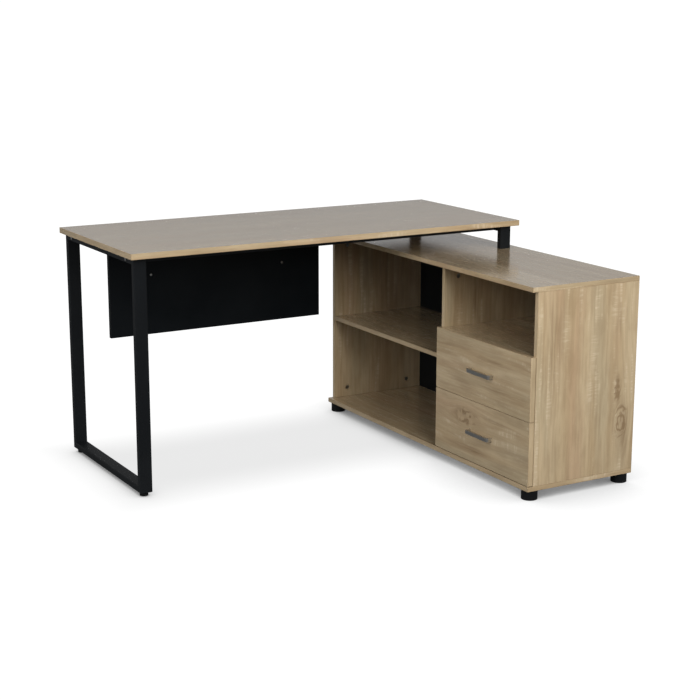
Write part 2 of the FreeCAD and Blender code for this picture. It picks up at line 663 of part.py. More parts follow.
def make_modesty_panel():
    """The black panel that hangs under the rear beam on two steel brackets."""
    front = "(Dims.beam_rear - Dims.board / 2)"
    size = ("Dims.screen_width", "Dims.board", "Dims.screen_height")
    panel = Board("modesty_panel", size, ("Dims.screen_left", front, "Dims.screen_low"))
    hang = f"({DESK_UNDER} - Dims.tube_thin - Dims.bracket_drop)"
    levels = [f"({hang} + {height})" for height in BRACKET_HOLES]
    spots = [
        (f"{x} - Dims.screen_left", f"{level} - Dims.screen_low")
        for x in BRACKETS
        for level in levels
    ]
    panel.drill("front", spots, "Dims.small_screw + Dims.pass_gap", "Dims.board")

    start = "(Dims.beam_rear - Dims.tube_wide / 2)"
    reach = f"({front} + Dims.board - {start})"
    for side, x in zip(("left", "right"), BRACKETS):
        body = new_body(f"modesty_bracket_{side}")
        sketch = new_sketch(body, "YZ_Plane")
        outer = f"({reach} + Dims.bracket_sheet)"
        under = "(Dims.bracket_drop - Dims.bracket_sheet)"
        add_polygon(sketch, [
            ("0", under), (reach, under), (reach, "0"),
            (outer, "0"), (outer, "Dims.bracket_drop"), ("0", "Dims.bracket_drop"),
        ])
        add_pad(body, sketch, "Dims.bracket_wide")
        sketch = new_sketch(body, "XZ_Plane")
        for height in BRACKET_HOLES:
            spot = ("Dims.bracket_wide / 2", height)
            add_circle(sketch, spot, "Dims.small_screw + Dims.thread_gap")
        add_pocket(body, sketch, f"{outer} + 1", False)
        sketch = new_sketch(body, "XY_Plane", "Dims.bracket_drop")
        for share in (0.25, 0.75):
            spot = (f"Dims.bracket_wide * {share}", "Dims.tube_wide / 4")
            add_circle(sketch, spot, "Dims.bolt + Dims.pass_gap")
        add_pocket(body, sketch, "Dims.bracket_sheet", False)
        place(body, (f"{x} - Dims.bracket_wide / 2", start, hang))
        keep(body, f"modesty_bracket_{side}")

    screw = screw_pattern(
        "screen_screw_pattern", "Dims.small_screw", "Dims.screen_screw_long",
        "Dims.small_screw_head", "Dims.screw_head_high", cross_recess,
    )
    spots = [((x, front, level), PLUS_X, PLUS_Y) for x in BRACKETS for level in levels]
    group("modesty_screws", screw, spots)

    bolt = screw_pattern(
        "bracket_bolt_pattern", "Dims.bolt", "Dims.bracket_bolt_long",
        "Dims.bolt_head", "Dims.bolt_head_high", hex_socket,
    )
    seat = f"({DESK_UNDER} - Dims.tube_thin - Dims.bracket_sheet)"
    row = f"({start} + Dims.tube_wide / 4)"
    spots = [
        ((f"({x} {step} Dims.bracket_wide / 4)", row, seat), PLUS_X, PLUS_Z)
        for x in BRACKETS
        for step in ("-", "+")
    ]
    group("bracket_bolts", bolt, spots)


# The cabinet's joints. Each is a cam lock, its bolt and a dowel, at a point on the plane where
# one board's end meets another board's face: (point, into the board with the cam, cam's face).
cam_joints = []
dowel_joints = []
def make_uprights():
    """The two end panels and the divider, with cam locks at their tops and bottoms."""
    boards = {}
    half = "Dims.board / 2"
    for label, y, depth, cam_face in UPRIGHTS:
        size = (depth, "Dims.board", INSIDE_HEIGHT)
        panel = Board(label, size, (CARCASS_LEFT, y, INSIDE_LOW))
        boards[label] = panel
        reach = ("Dims.cam_reach", f"{INSIDE_HEIGHT} - Dims.cam_reach")
        panel.drill(cam_face, [(x, z) for x in CAMS for z in reach], "Dims.cam_across",
                    "Dims.cam_deep")
        for end in ("bottom", "top"):
            panel.drill(end, [(x, half) for x in CAMS], "Dims.cam_bore", "Dims.cam_reach")
            panel.drill(end, [(x, half) for x in DOWELS], DOWEL_HOLE[0], "Dims.dowel_deep")
        outward = PLUS_Y if cam_face == "back" else -PLUS_Y
        for z, inward in ((INSIDE_LOW, PLUS_Z), (f"({INSIDE_LOW} + {INSIDE_HEIGHT})", -PLUS_Z)):
            for x in CAMS:
                point = (f"({CARCASS_LEFT} + {x})", f"({y} + {half})", z)
                cam_joints.append((point, inward, outward))
            for x in DOWELS:
                point = (f"({CARCASS_LEFT} + {x})", f"({y} + {half})", z)
                dowel_joints.append((point, inward))
    return boards


def make_top_and_bottom():
    """The two long boards, which reach forward over the drawer fronts."""
    size = ("Dims.cabinet_depth", "Dims.cabinet_length", "Dims.board")
    levels = {"cabinet_bottom": "Dims.foot_high", "cabinet_top": "(Dims.cabinet_height - Dims.board)"}
    faces = {"cabinet_bottom": "top", "cabinet_top": "bottom"}
    boards = {}
    for label, z in levels.items():
        panel = Board(label, size, ("Dims.cabinet_left", CABINET_NEAR, z))
        rows = [f"{y} + Dims.board / 2 - {CABINET_NEAR}" for name, y, depth, face in UPRIGHTS]
        for columns, hole in ((CAMS, CAM_BOLT_HOLE), (DOWELS, DOWEL_HOLE)):
            spots = [(f"{x} + Dims.carcass_back", y) for x in columns for y in rows]
            panel.drill(faces[label], spots, *hole)
        boards[label] = panel
    post = f"{FRAME_RIGHT} + Dims.tube_wide / 2 - Dims.cabinet_left"
    spots = [(post, f"{y} - {CABINET_NEAR}") for y in POSTS]
    boards["cabinet_top"].drill("bottom", spots, "Dims.bolt + Dims.pass_gap", "Dims.board")
    spots = [
        (x, y)
        for x in ("Dims.foot_in", "Dims.cabinet_depth - Dims.foot_in")
        for y in ("Dims.foot_in", "Dims.cabinet_length - Dims.foot_in")
    ]
    deep = "Dims.foot_screw_long - Dims.foot_high + Dims.foot_sink + Dims.hole_spare"
    boards["cabinet_bottom"].drill("bottom", spots, "Dims.foot_screw + Dims.thread_gap", deep)


def make_shelf(label, low, near, far, near_panel, far_panel):
    """A fixed shelf between two uprights, with its cam locks in its underside."""
    length = f"({far} - {near})"
    shelf = Board(label, (INSIDE_DEPTH, length, "Dims.board"), (CARCASS_LEFT, near, low))
    half = "Dims.board / 2"
    reach = ("Dims.cam_reach", f"{length} - Dims.cam_reach")
    shelf.drill("bottom", [(x, y) for x in CAMS for y in reach], "Dims.cam_across",
                "Dims.cam_deep")
    level = f"{low} + {half} - {INSIDE_LOW}"
    for end, panel, face in (("front", near_panel, "back"), ("back", far_panel, "front")):
        shelf.drill(end, [(x, half) for x in CAMS], "Dims.cam_bore", "Dims.cam_reach")
        shelf.drill(end, [(x, half) for x in DOWELS], DOWEL_HOLE[0], "Dims.dowel_deep")
        panel.drill(face, [(x, level) for x in CAMS], *CAM_BOLT_HOLE)
        panel.drill(face, [(x, level) for x in DOWELS], *DOWEL_HOLE)
    for y, inward in ((near, PLUS_Y), (far, -PLUS_Y)):
        for x in CAMS:
            point = (f"({CARCASS_LEFT} + {x})", y, f"({low} + {half})")
            cam_joints.append((point, inward, -PLUS_Z))
        for x in DOWELS:
            point = (f"({CARCASS_LEFT} + {x})", y, f"({low} + {half})")
            dowel_joints.append((point, inward))


def make_back_panel(end_panels):
    """The black back, dowelled between the two end panels."""
    size = ("Dims.board", f"({FAR_PANEL} - {BAY_NEAR})", INSIDE_HEIGHT)
    left = f"({CARCASS_LEFT} + {INSIDE_DEPTH})"
    panel = Board("back_panel", size, (left, BAY_NEAR, INSIDE_LOW))
    half = "Dims.board / 2"
    ends = (("front", BAY_NEAR, PLUS_Y, "back"), ("back", FAR_PANEL, -PLUS_Y, "front"))
    for (end, y, inward, face), upright in zip(ends, end_panels):
        panel.drill(end, [(half, z) for z in BACK_DOWELS], DOWEL_HOLE[0], "Dims.dowel_deep")
        spots = [(f"{INSIDE_DEPTH} + {half}", z) for z in BACK_DOWELS]
        upright.drill(face, spots, *DOWEL_HOLE)
        for z in BACK_DOWELS:
            dowel_joints.append(((f"({left} + {half})", y, f"({INSIDE_LOW} + {z})"), inward))


def make_joint_hardware():
    """Cam locks, cam bolts and dowels, one group of each."""
    cam = new_body("cam_pattern")
    sketch = new_sketch(cam, "XY_Plane")
    add_circle(sketch, ("0", "0"), "Dims.cam_across - Dims.thread_gap")
    add_pad(cam, sketch, "Dims.cam_deep - Dims.thread_gap", reverse=True)
    sketch = new_sketch(cam, "YZ_Plane", "Dims.cam_across")
    add_circle(sketch, ("0", "-Dims.board / 2"), "Dims.cam_bore")
    add_pocket(cam, sketch, "Dims.cam_across + Dims.cam_past", False)
    sketch = new_sketch(cam, "XY_Plane")
    add_polygon(sketch, cross("Dims.cam_slot_half", "Dims.cam_slot_side"))
    add_pocket(cam, sketch, "Dims.cam_slot_deep", False)
    spots = []
    for point, inward, outward in cam_joints:
        middle = shift(point, inward, "Dims.cam_reach")
        spots.append((shift(middle, outward, "Dims.board / 2"), -inward, outward))
    group("cam_locks", cam, spots)

    bolt = new_body("cam_bolt_pattern")
    head = "(Dims.cam_reach - Dims.cam_head_in)"
    neck = f"({head} - Dims.cam_neck_long)"
    add_disc(bolt, "-Dims.joint_deep", "Dims.cam_bolt", "Dims.joint_deep")
    add_disc(bolt, None, "Dims.cam_shank", neck)
    add_disc(bolt, neck, "Dims.cam_neck", "Dims.cam_neck_long")
    add_disc(bolt, head, "Dims.cam_shank", "Dims.cam_head_long")
    spots = [(point, outward, inward) for point, inward, outward in cam_joints]
    group("cam_bolts", bolt, spots)

    dowel = new_body("dowel_pattern")
    length = "Dims.joint_deep + Dims.dowel_deep - 2 * Dims.dowel_short"
    add_disc(dowel, "-Dims.joint_deep + Dims.dowel_short", "Dims.dowel", length)
    round_edges(dowel, "Dims.dowel_round", is_round)
    spots = []
    for point, inward in dowel_joints:
        beside = PLUS_X if abs(inward.x) < 0.5 else PLUS_Z
        spots.append((point, beside, inward))
    group("dowels", dowel, spots)


def make_feet():
    """Four round plastic feet, each held by one screw up into the bottom board."""
    right = "(Dims.cabinet_depth - Dims.foot_in)"
    far = "(Dims.cabinet_length - Dims.foot_in)"
    corners = {
        "near_left": ("Dims.foot_in", "Dims.foot_in"),
        "near_right": (right, "Dims.foot_in"),
        "far_left": ("Dims.foot_in", far),
        "far_right": (right, far),
    }
    places = []
    for name, (x, y) in corners.items():
        body = new_body(f"foot_{name}")
        add_disc(body, None, "Dims.foot_across", "Dims.foot_high")
        round_edges(body, "Dims.foot_round", is_round)
        for diameter, depth in (("Dims.foot_screw + Dims.pass_gap", "Dims.foot_high"),
                                ("Dims.access", "Dims.foot_sink")):
            sketch = new_sketch(body, "XY_Plane")
            add_circle(sketch, ("0", "0"), diameter)
            add_pocket(body, sketch, depth, True)
        corner = (f"(Dims.cabinet_left + {x})", f"({CABINET_NEAR} + {y})", "0")
        place(body, corner)
        keep(body, f"foot_{name}")
        places.append((corner[0], corner[1], "Dims.foot_sink"))
    screw = screw_pattern(
        "foot_screw_pattern", "Dims.foot_screw", "Dims.foot_screw_long",
        "Dims.small_screw_head", "Dims.screw_head_high", cross_recess,
    )
    group("foot_screws", screw, [(corner, PLUS_X, PLUS_Z) for corner in places])


def channel(name, wall, half_height, flange_end, opens_outward):
    """A slide member: a thin C, along its own +X, standing off a wall at its own Y = 0."""
    sheet_thick = "Dims.slide_sheet"
    body = new_body(name)
    sketch = new_sketch(body, "YZ_Plane")
    inner = f"({half_height} - {sheet_thick})"
    step = f"({wall} - {sheet_thick})" if opens_outward else f"({wall} + {sheet_thick})"
    add_polygon(sketch, [
        (wall, f"-{half_height}"), (flange_end, f"-{half_height}"), (flange_end, f"-{inner}"),
        (step, f"-{inner}"), (step, inner), (flange_end, inner),
        (flange_end, half_height), (wall, half_height),
    ])
    add_pad(body, sketch, "Dims.slide_length")
    return body


def make_slide_patterns():
    """The three members of one slide, nested with a ball race between each two."""
    race = "(Dims.slide_ball + Dims.race_gap)"
    outer_half = "(Dims.slide_tall / 2)"
    middle_half = f"({outer_half} - Dims.slide_sheet - {race})"
    inner_half = f"({middle_half} - Dims.slide_sheet - {race})"
    outer = channel("outer_pattern", "0", outer_half, "Dims.slide_outer_lip", False)
    middle = channel("middle_pattern", "Dims.slide_middle_wall", middle_half,
                     "Dims.slide_middle_lip", False)
    inner = channel("inner_pattern", "Dims.slide_space", inner_half, "Dims.slide_inner_lip", True)
    ball = doc.addObject("Part::Sphere", "ball_pattern")
    ball.setExpression("Radius", "Dims.slide_ball / 2")
    races = (
        ("Dims.race_outer", f"({middle_half} + {race} / 2)", "Dims.ball_rear_row"),
        ("Dims.race_inner", f"({inner_half} + {race} / 2)", "Dims.ball_front_row"),
    )
    return outer, middle, inner, ball, races


def slide_spots(level):
    """Where one drawer's two slides sit: on the near end panel and on the divider."""
    return [
        ((CARCASS_LEFT, BAY_NEAR, level), PLUS_X, PLUS_Z),
        ((CARCASS_LEFT, BAY_FAR, level), PLUS_X, -PLUS_Z),
    ]


def ball_spots(level, races):
    """Rows of balls above and below the middle members, kept to the overlap of the members."""
    spots = []
    for (corner, x_to, z_to), side in zip(slide_spots(level), (PLUS_Y, -PLUS_Y)):
        for reach, height, start in races:
            for sense in (PLUS_Z, -PLUS_Z):
                for index in range(BALLS_PER_ROW):
                    point = shift(corner, PLUS_X, f"{start} + Dims.ball_pitch * {index}")
                    point = shift(shift(point, side, reach), sense, height)
                    spots.append((point, x_to, z_to))
    return spots


def make_drawer(prefix, low, slide):
    """One drawer: front, box, handle and the slide members that move with it."""
    middle_pattern, inner_pattern, ball_pattern, races = slide
    side_low = f"({low} + Dims.side_lift)"
    box_left = "(Dims.cabinet_left + Dims.front_board)"
    box_long = f"(Dims.slide_length + {CARCASS_LEFT} - {box_left})"
    right_inner = f"({BAY_NEAR} + Dims.slide_space + Dims.side_board)"
    left_inner = f"({BAY_FAR} - Dims.slide_space - Dims.side_board)"
    floor_low = "Dims.floor_lift"
    floor_top = "(Dims.floor_lift + Dims.floor_sheet)"

    width = "(Dims.board + Dims.drawer_bay + Dims.front_lap)"
    front = Board(
        f"{prefix}_drawer_front", ("Dims.front_board", width, "Dims.front_high"),
        ("Dims.cabinet_left", CABINET_NEAR, low),
    )
    low_corner = (f"{right_inner} - Dims.groove_deep - {CABINET_NEAR}",
                  f"Dims.side_lift + {floor_low}")
    high_corner = (f"{left_inner} + Dims.groove_deep - {CABINET_NEAR}",
                   f"Dims.side_lift + {floor_top}")
    front.groove("right", low_corner, high_corner, "Dims.groove_deep")

    sides = (("right", f"({right_inner} - Dims.side_board)", "back"), ("left", left_inner, "front"))
    for name, y, inner_face in sides:
        size = (box_long, "Dims.side_board", "Dims.side_high")
        side = Board(f"{prefix}_drawer_{name}_side", size, (box_left, y, side_low))
        side.groove(inner_face, ("0", floor_low), (box_long, floor_top), "Dims.groove_deep")

    back_left = f"({box_left} + {box_long} - Dims.side_board)"
    size = ("Dims.side_board", f"({left_inner} - {right_inner})", f"(Dims.side_high - {floor_top})")
    Board(f"{prefix}_drawer_back", size, (back_left, right_inner, f"({side_low} + {floor_top})"))

    size = (
        f"({box_long} + Dims.groove_deep)",
        f"({left_inner} - {right_inner} + 2 * Dims.groove_deep)",
        "Dims.floor_sheet",
    )
    corner = (
        f"({box_left} - Dims.groove_deep)",
        f"({right_inner} - Dims.groove_deep)",
        f"({side_low} + {floor_low})",
    )
    Board(f"{prefix}_drawer_floor", size, corner)

    centre_y = f"({CABINET_NEAR} + {width} / 2)"
    centre_z = f"({low} + Dims.front_high / 2 - Dims.handle_drop)"
    make_handle(f"{prefix}_drawer_handle", (centre_y, centre_z))
    screw = screw_pattern(
        f"{prefix}_handle_screw_pattern", "Dims.small_screw", "Dims.handle_screw_long",
        "Dims.small_screw_head", "Dims.screw_head_high", cross_recess,
    )
    holes = [f"({centre_y} {sign} {HANDLE_HOLE})" for sign in "-+"]
    group(f"{prefix}_handle_screws", screw,
          [((box_left, y, centre_z), PLUS_Y, -PLUS_X) for y in holes])
    spots = [(f"{y} - {CABINET_NEAR}", f"{centre_z} - {low}") for y in holes]
    front.drill("right", spots, "Dims.small_screw + Dims.pass_gap", "Dims.front_board")

    level = f"({side_low} + Dims.side_high / 2)"
    group(f"{prefix}_slide_middle_members", middle_pattern, slide_spots(level))
    group(f"{prefix}_slide_inner_members", inner_pattern, slide_spots(level))
    group(f"{prefix}_slide_balls", ball_pattern, ball_spots(level, races))
    return level


def make_handle(label, centre):
    """A bar handle: a flat strip, bent back at both ends into thicker legs."""
    half = "(Dims.handle_long / 2)"
    inside = f"({half} - Dims.handle_leg)"
    behind = "(Dims.handle_rise - Dims.handle_thick)"
    body = new_body(label)
    sketch = new_sketch(body, "XY_Plane")
    add_polygon(sketch, [
        ("0", f"-{half}"), ("-Dims.handle_rise", f"-{half}"), ("-Dims.handle_rise", half),
        ("0", half), ("0", inside), (f"-{behind}", inside),
        (f"-{behind}", f"-{inside}"), ("0", f"-{inside}"),
    ])
    add_pad(body, sketch, "Dims.handle_tall")
    bends = (
        ("Dims.handle_bend", "Dims.handle_rise", half),
        ("Dims.handle_inside", behind, inside),
    )
    for radius, rise, reach in bends:
        corner = (number(rise), number(reach))

        def on_bend(edge):
            middle = edge.CenterOfMass
            return (abs(middle.x + corner[0]) < TINY
                    and abs(abs(middle.y) - corner[1]) < TINY)

        round_edges(body, radius, on_bend)
    top = number("Dims.handle_tall")

    def on_rim(edge):
        middle = edge.CenterOfMass
        return middle.x < -TINY and min(abs(middle.z), abs(middle.z - top)) < TINY

    round_edges(body, "Dims.handle_round", on_rim)
    sketch = new_sketch(body, "YZ_Plane")
    for sign in ("-", ""):
        spot = (f"{sign}{HANDLE_HOLE}", "Dims.handle_tall / 2")
        add_circle(sketch, spot, "Dims.small_screw + Dims.thread_gap")
    add_pocket(body, sketch, "Dims.handle_screw_long - Dims.front_board + Dims.hole_spare", False)
    place(body, ("Dims.cabinet_left", centre[0], f"({centre[1]} - Dims.handle_tall / 2)"))
    keep(body, label)


def make_drawers():
    outer, middle, inner, ball, races = make_slide_patterns()
    lows = {
        "lower": "Dims.front_low",
        "upper": "(Dims.front_low + Dims.front_high + Dims.front_gap)",
    }
    levels = []
    for prefix, low in lows.items():
        levels.append(make_drawer(prefix, low, (middle, inner, ball, races)))
    spots = [spot for level in levels for spot in slide_spots(level)]
    group("slide_outer_members", outer, spots)


def make_cabinet():
    uprights = make_uprights()
    make_top_and_bottom()
    near, divider, far = (uprights[name] for name, *rest in UPRIGHTS)
    make_shelf("far_bay_shelf", FAR_SHELF_LOW, DIVIDER_FAR, FAR_PANEL, divider, far)
    make_shelf("drawer_bay_shelf", "Dims.bay_shelf_low", BAY_NEAR, BAY_FAR, near, divider)
    make_back_panel((near, far))
    make_joint_hardware()
    make_feet()


def check_and_export():
    """Stop if any object failed; then write each sub-part to its own file."""
    doc.recompute()
    for item in doc.Objects:
        if {"Invalid", "Error"} & set(item.State):
            raise RuntimeError(f"{item.Name} ({item.Label}) failed: {item.State}")
    os.makedirs("parts", exist_ok=True)
    for item in exported:
        shape = item.Shape
        if shape.isNull() or not shape.isValid() or not shape.Solids:
            raise RuntimeError(f"{item.Label} has no valid shape")
        shape.exportStep(f"parts/{item.Label}.step")
    print(len(exported), "sub-parts written")


make_desktop()
make_left_frame()
make_glides()
make_riser()
make_beams()
make_frame_fasteners()
make_modesty_panel()
make_cabinet()
make_drawers()
check_and_export()
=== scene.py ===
"""Looks of the corner desk: finishes, small hardware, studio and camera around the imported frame."""
import json
import math

import bmesh
import bpy
from mathutils import Matrix, Vector


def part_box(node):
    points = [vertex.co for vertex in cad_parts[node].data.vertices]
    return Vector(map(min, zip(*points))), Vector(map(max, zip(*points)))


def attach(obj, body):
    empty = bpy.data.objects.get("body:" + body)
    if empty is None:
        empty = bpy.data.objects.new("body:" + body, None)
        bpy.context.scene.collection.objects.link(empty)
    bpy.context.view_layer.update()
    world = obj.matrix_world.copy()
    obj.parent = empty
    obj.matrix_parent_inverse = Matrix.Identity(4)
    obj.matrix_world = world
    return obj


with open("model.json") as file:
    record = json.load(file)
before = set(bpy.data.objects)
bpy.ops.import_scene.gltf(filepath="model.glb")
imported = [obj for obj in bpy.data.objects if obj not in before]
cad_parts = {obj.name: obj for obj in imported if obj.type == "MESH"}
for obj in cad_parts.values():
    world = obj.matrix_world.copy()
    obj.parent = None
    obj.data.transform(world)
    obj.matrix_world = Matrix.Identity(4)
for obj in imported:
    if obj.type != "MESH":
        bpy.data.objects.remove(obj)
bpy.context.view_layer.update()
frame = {"nodes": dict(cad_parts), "record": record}
NODES = frame["nodes"]
MM = 0.001
AXES = "XYZ"
WHITE = (1, 1, 1, 1)

# The camera: its place in metres, its angles in degrees, its lens and sensor in millimetres.
# At azimuth 0 it looks along +Y.
CAMERA_PLACE = Vector((-2.3893, -4.1686, 1.5009))
CAMERA_AZIMUTH = -30.24
CAMERA_ELEVATION = 13.12
CAMERA_ROLL = 0.12
CAMERA_LENS = 79.85
CAMERA_SENSOR = 36
VIEW_GAMMA = 0.88

# Linear colours of the finishes.
OAK_CREAM = (0.580, 0.466, 0.308)
OAK_PALE = (0.672, 0.566, 0.408)
OAK_TAN = (0.494, 0.378, 0.234)
OAK_ROSE = (0.518, 0.374, 0.242)
OAK_GREY = (0.468, 0.394, 0.266)
OAK_DARK = (0.225, 0.145, 0.074)
BLACK_PAINT = (0.0085, 0.0098, 0.0112)
DUSTY_PAINT = (0.0125, 0.0142, 0.0160)
PAINT_SPECK = (0.05, 0.052, 0.055)
BLACK_BOARD = (0.0044, 0.0060, 0.0074)
CLOUDY_BOARD = (0.0070, 0.0088, 0.0104)
WORN_BOARD = (0.045, 0.042, 0.040)
BLACK_PLASTIC = (0.0075, 0.0080, 0.0088)
SCUFFED_PLASTIC = (0.055, 0.053, 0.05)
ZINC = (0.60, 0.61, 0.62)
CLOUDY_ZINC = (0.50, 0.49, 0.45)
CHROME = (0.72, 0.715, 0.70)
MARKED_CHROME = (0.74, 0.73, 0.70)
BEECH = (0.58, 0.40, 0.22)
BEECH_DARK = (0.40, 0.25, 0.13)
HARDBOARD = (0.36, 0.25, 0.15)
HARDBOARD_DARK = (0.22, 0.145, 0.08)

# How deep each finish's bumps are.
OAK_RELIEF = 0.06 * MM
BOARD_RELIEF = 0.12 * MM
PAINT_RELIEF = 0.16 * MM
ZINC_RELIEF = 0.03 * MM
CHROME_RELIEF = 0.004 * MM
PLASTIC_RELIEF = 0.12 * MM
WOOD_RELIEF = 0.15 * MM

# The oak boards: the axis that the printed grain runs along, and which stretch of the print
# the board is cut from. The two drawer fronts are cut from one stretch.
OAK_BOARDS = {
    "desktop": ("X", 0),
    "cabinet_top": ("Y", 1),
    "cabinet_bottom": ("Y", 2),
    "far_bay_shelf": ("Y", 3),
    "drawer_bay_shelf": ("Y", 4),
    "near_end_panel": ("Z", 5),
    "far_end_panel": ("Z", 6),
    "divider_panel": ("Z", 7),
    "upper_drawer_front": ("Y", 8),
    "lower_drawer_front": ("Y", 8),
    "upper_drawer_left_side": ("X", 10),
    "upper_drawer_right_side": ("X", 11),
    "upper_drawer_back": ("Y", 12),
    "lower_drawer_left_side": ("X", 13),
    "lower_drawer_right_side": ("X", 14),
    "lower_drawer_back": ("Y", 15),
}
PRINT_START = (0.5, 0.2, 0.0)
PRINT_STEP = (3.17, 1.73, 2.41)

# Marks of the print that stand out. Each is a place from the board's low corner and its
# reach, along the grain and across it, in metres.
KNOTS = {
    "near_end_panel": [(0.165, 0.330, 0.060, 0.022), (0.262, 0.312, 0.038, 0.014)],
    "lower_drawer_front": [(0.332, 0.138, 0.060, 0.024)],
}
SHADES = {
    "near_end_panel": [(0.130, 0.345, 0.090, 0.016), (0.400, 0.060, 0.150, 0.016)],
    "upper_drawer_front": [(0.180, 0.144, 0.062, 0.007), (0.161, 0.060, 0.060, 0.009),
                           (0.330, 0.030, 0.070, 0.010)],
    "lower_drawer_front": [(0.167, 0.158, 0.062, 0.009), (0.300, 0.040, 0.080, 0.009)],
    "divider_panel": [(0.480, 0.120, 0.060, 0.012), (0.300, 0.250, 0.110, 0.014)],
}
SAWN_PATCHES = {
    "near_end_panel": [(0.460, 0.108, 0.055, 0.012), (0.389, 0.215, 0.060, 0.013),
                       (0.269, 0.204, 0.050, 0.011), (0.271, 0.303, 0.050, 0.010),
                       (0.520, 0.290, 0.060, 0.012)],
    "lower_drawer_front": [(0.090, 0.100, 0.040, 0.012)],
    "divider_panel": [(0.400, 0.060, 0.050, 0.012)],
}

# The layers of the oak print: noise cells per metre along the grain, across it and through
# the board, then the noise's detail and roughness.
SWAY = ((3.1, 10, 10), 2, 0.5)
SWAY_WIDTH = 0.026
OAK_LAYERS = {
    "bands": ((1.1, 19, 19), 2, 0.55),
    "hue": ((1.6, 13, 13), 2, 0.5),
    "mottle": ((9, 26, 26), 3, 0.55),
    "streaks": ((5.5, 110, 110), 5, 0.6),
    "fibres": ((16, 760, 760), 2, 0.6),
    "pores": ((24, 460, 460), 2, 0.5),
    "figure": ((2.4, 31, 31), 2, 0.5),
    "ticks": ((175, 30, 30), 1, 0.4),
    "ladder": ((4.6, 44, 44), 1, 0.5),
}
SWIRL = ((17, 34, 34), 2, 0.45, 0.6)

# Levels: the two values between which a layer fades in, and then, where it isn't from 0 to 1,
# what it fades from and to.
END_FACE_LEVELS = (0.6, 0.8)
BAND_LEVELS = (0.32, 0.68)
PORE_LEVELS = (0.60, 0.74)
FIGURE_LEVELS = (0.40, 0.30)
FIBRE_LEVELS = (0.25, 0.75, 0.0, 0.10)
TICK_LEVELS = (0.50, 0.62)
LADDER_LEVELS = (0.58, 0.72)
SHADE_LEVELS = (0.32, 0.60, 0.62, 0.22)
RING_LEVELS = (0.16, 0.46, 0.05, 0.66)
KNOT_LEVELS = (0.06, 0.62)
# Layers that pull the oak's colour towards another one, in order.
OAK_DRIFTS = (
    ("hue", (0.50, 0.74, 0.0, 0.70), OAK_ROSE),
    ("hue", (0.50, 0.28, 0.0, 0.60), OAK_GREY),
    ("mottle", (0.58, 0.34, 0.0, 0.16), OAK_DARK),
    ("streaks", (0.62, 0.34, 0.0, 0.20), OAK_DARK),
)

# A board's edge: the dark line between its face and its edge band, and its worn rim, both
# in metres from the edge.
BAND_LINE_STARTS = (0.4 * MM, 0.8 * MM)
BAND_LINE_ENDS = (1.6 * MM, 1.1 * MM)
WORN_RIM = (0.9 * MM, 0.1 * MM)
BAND_LINE_STRENGTH = 0.35


class Nodes:
    """A node tree, with short calls for the nodes that the finishes and the studio use."""

    def __init__(self, tree):
        self.tree = tree

    def new(self, kind):
        """A new shader node."""
        return self.tree.nodes.new(f"ShaderNode{kind}")

    def put(self, socket, value):
        """Link a socket, or set it."""
        if isinstance(value, bpy.types.NodeSocket):
            self.tree.links.new(value, socket)
        elif value is not None:
            socket.default_value = value

    def math(self, operation, first, second=None, third=None):
        """The result of a sum on numbers."""
        node = self.new("Math")
        node.operation = operation
        for socket, value in zip(node.inputs, (first, second, third)):
            self.put(socket, value)
        return node.outputs[0]

    def vector(self, operation, first, second):
        """The result of a sum on two vectors."""
        node = self.new("VectorMath")
        node.operation = operation
        self.put(node.inputs[0], first)
        self.put(node.inputs[1], second)
        return node.outputs[0]

    def split(self, vector):
        """A vector's x, y and z."""
        node = self.new("SeparateXYZ")
        self.put(node.inputs[0], vector)
        return list(node.outputs)

    def join(self, x, y, z):
        """The vector of x, y and z."""
        node = self.new("CombineXYZ")
        for socket, value in zip(node.inputs, (x, y, z)):
            self.put(socket, value)
        return node.outputs[0]

    def noise(self, vector, cells, detail=2.0, roughness=0.5, warp=0.0):
        """Noise with the given number of cells per metre along each axis, from 0 to 1."""
        node = self.new("TexNoise")
        self.put(node.inputs["Vector"], self.vector("MULTIPLY", vector, cells))
        self.put(node.inputs["Scale"], 1.0)
        self.put(node.inputs["Detail"], detail)
        self.put(node.inputs["Roughness"], roughness)
        self.put(node.inputs["Distortion"], warp)
        return node.outputs["Fac"]

    def steps(self, value, low, high, low_to=0.0, high_to=1.0):
        """A smooth step of a value between two levels."""
        node = self.new("MapRange")
        node.interpolation_type = "SMOOTHSTEP"
        for socket, number in zip(node.inputs, (value, low, high, low_to, high_to)):
            self.put(socket, number)
        return node.outputs[0]

    def mix(self, factor, first, second):
        """A mix of two colours."""
        node = self.new("Mix")
        node.data_type = "RGBA"
        self.put(node.inputs[0], factor)
        for socket, value in zip(node.inputs[6:8], (first, second)):
            self.put(socket, (*value, 1.0) if isinstance(value, tuple) else value)
        return node.outputs[2]

    def tint(self, colour, amount, strength, towards):
        """A colour pulled towards another one where the amount is high."""
        return self.mix(self.math("MULTIPLY", amount, strength), colour, towards)


class Shader(Nodes):
    """One material's nodes. Its places are the object's own coordinates, in metres."""

    def __init__(self, name):
        self.material = bpy.data.materials.new(name)
        self.material.use_nodes = True
        super().__init__(self.material.node_tree)
        self.surface = self.tree.nodes["Principled BSDF"]
        self.source = self.new("TexCoord")
        self.place = self.source.outputs["Object"]

    def bump(self, height, distance):
        """The normal of a surface with bumps of that depth."""
        node = self.new("Bump")
        self.put(node.inputs["Strength"], 1.0)
        self.put(node.inputs["Distance"], distance)
        self.put(node.inputs["Height"], height)
        return node.outputs[0]

    def finish(self, **sockets):
        """Set the surface's sockets, named with _ for spaces, and return the material."""
        for name, value in sockets.items():
            socket = self.surface.inputs[name.replace("_", " ")]
            self.put(socket, (*value, 1.0) if isinstance(value, tuple) else value)
        return self.material


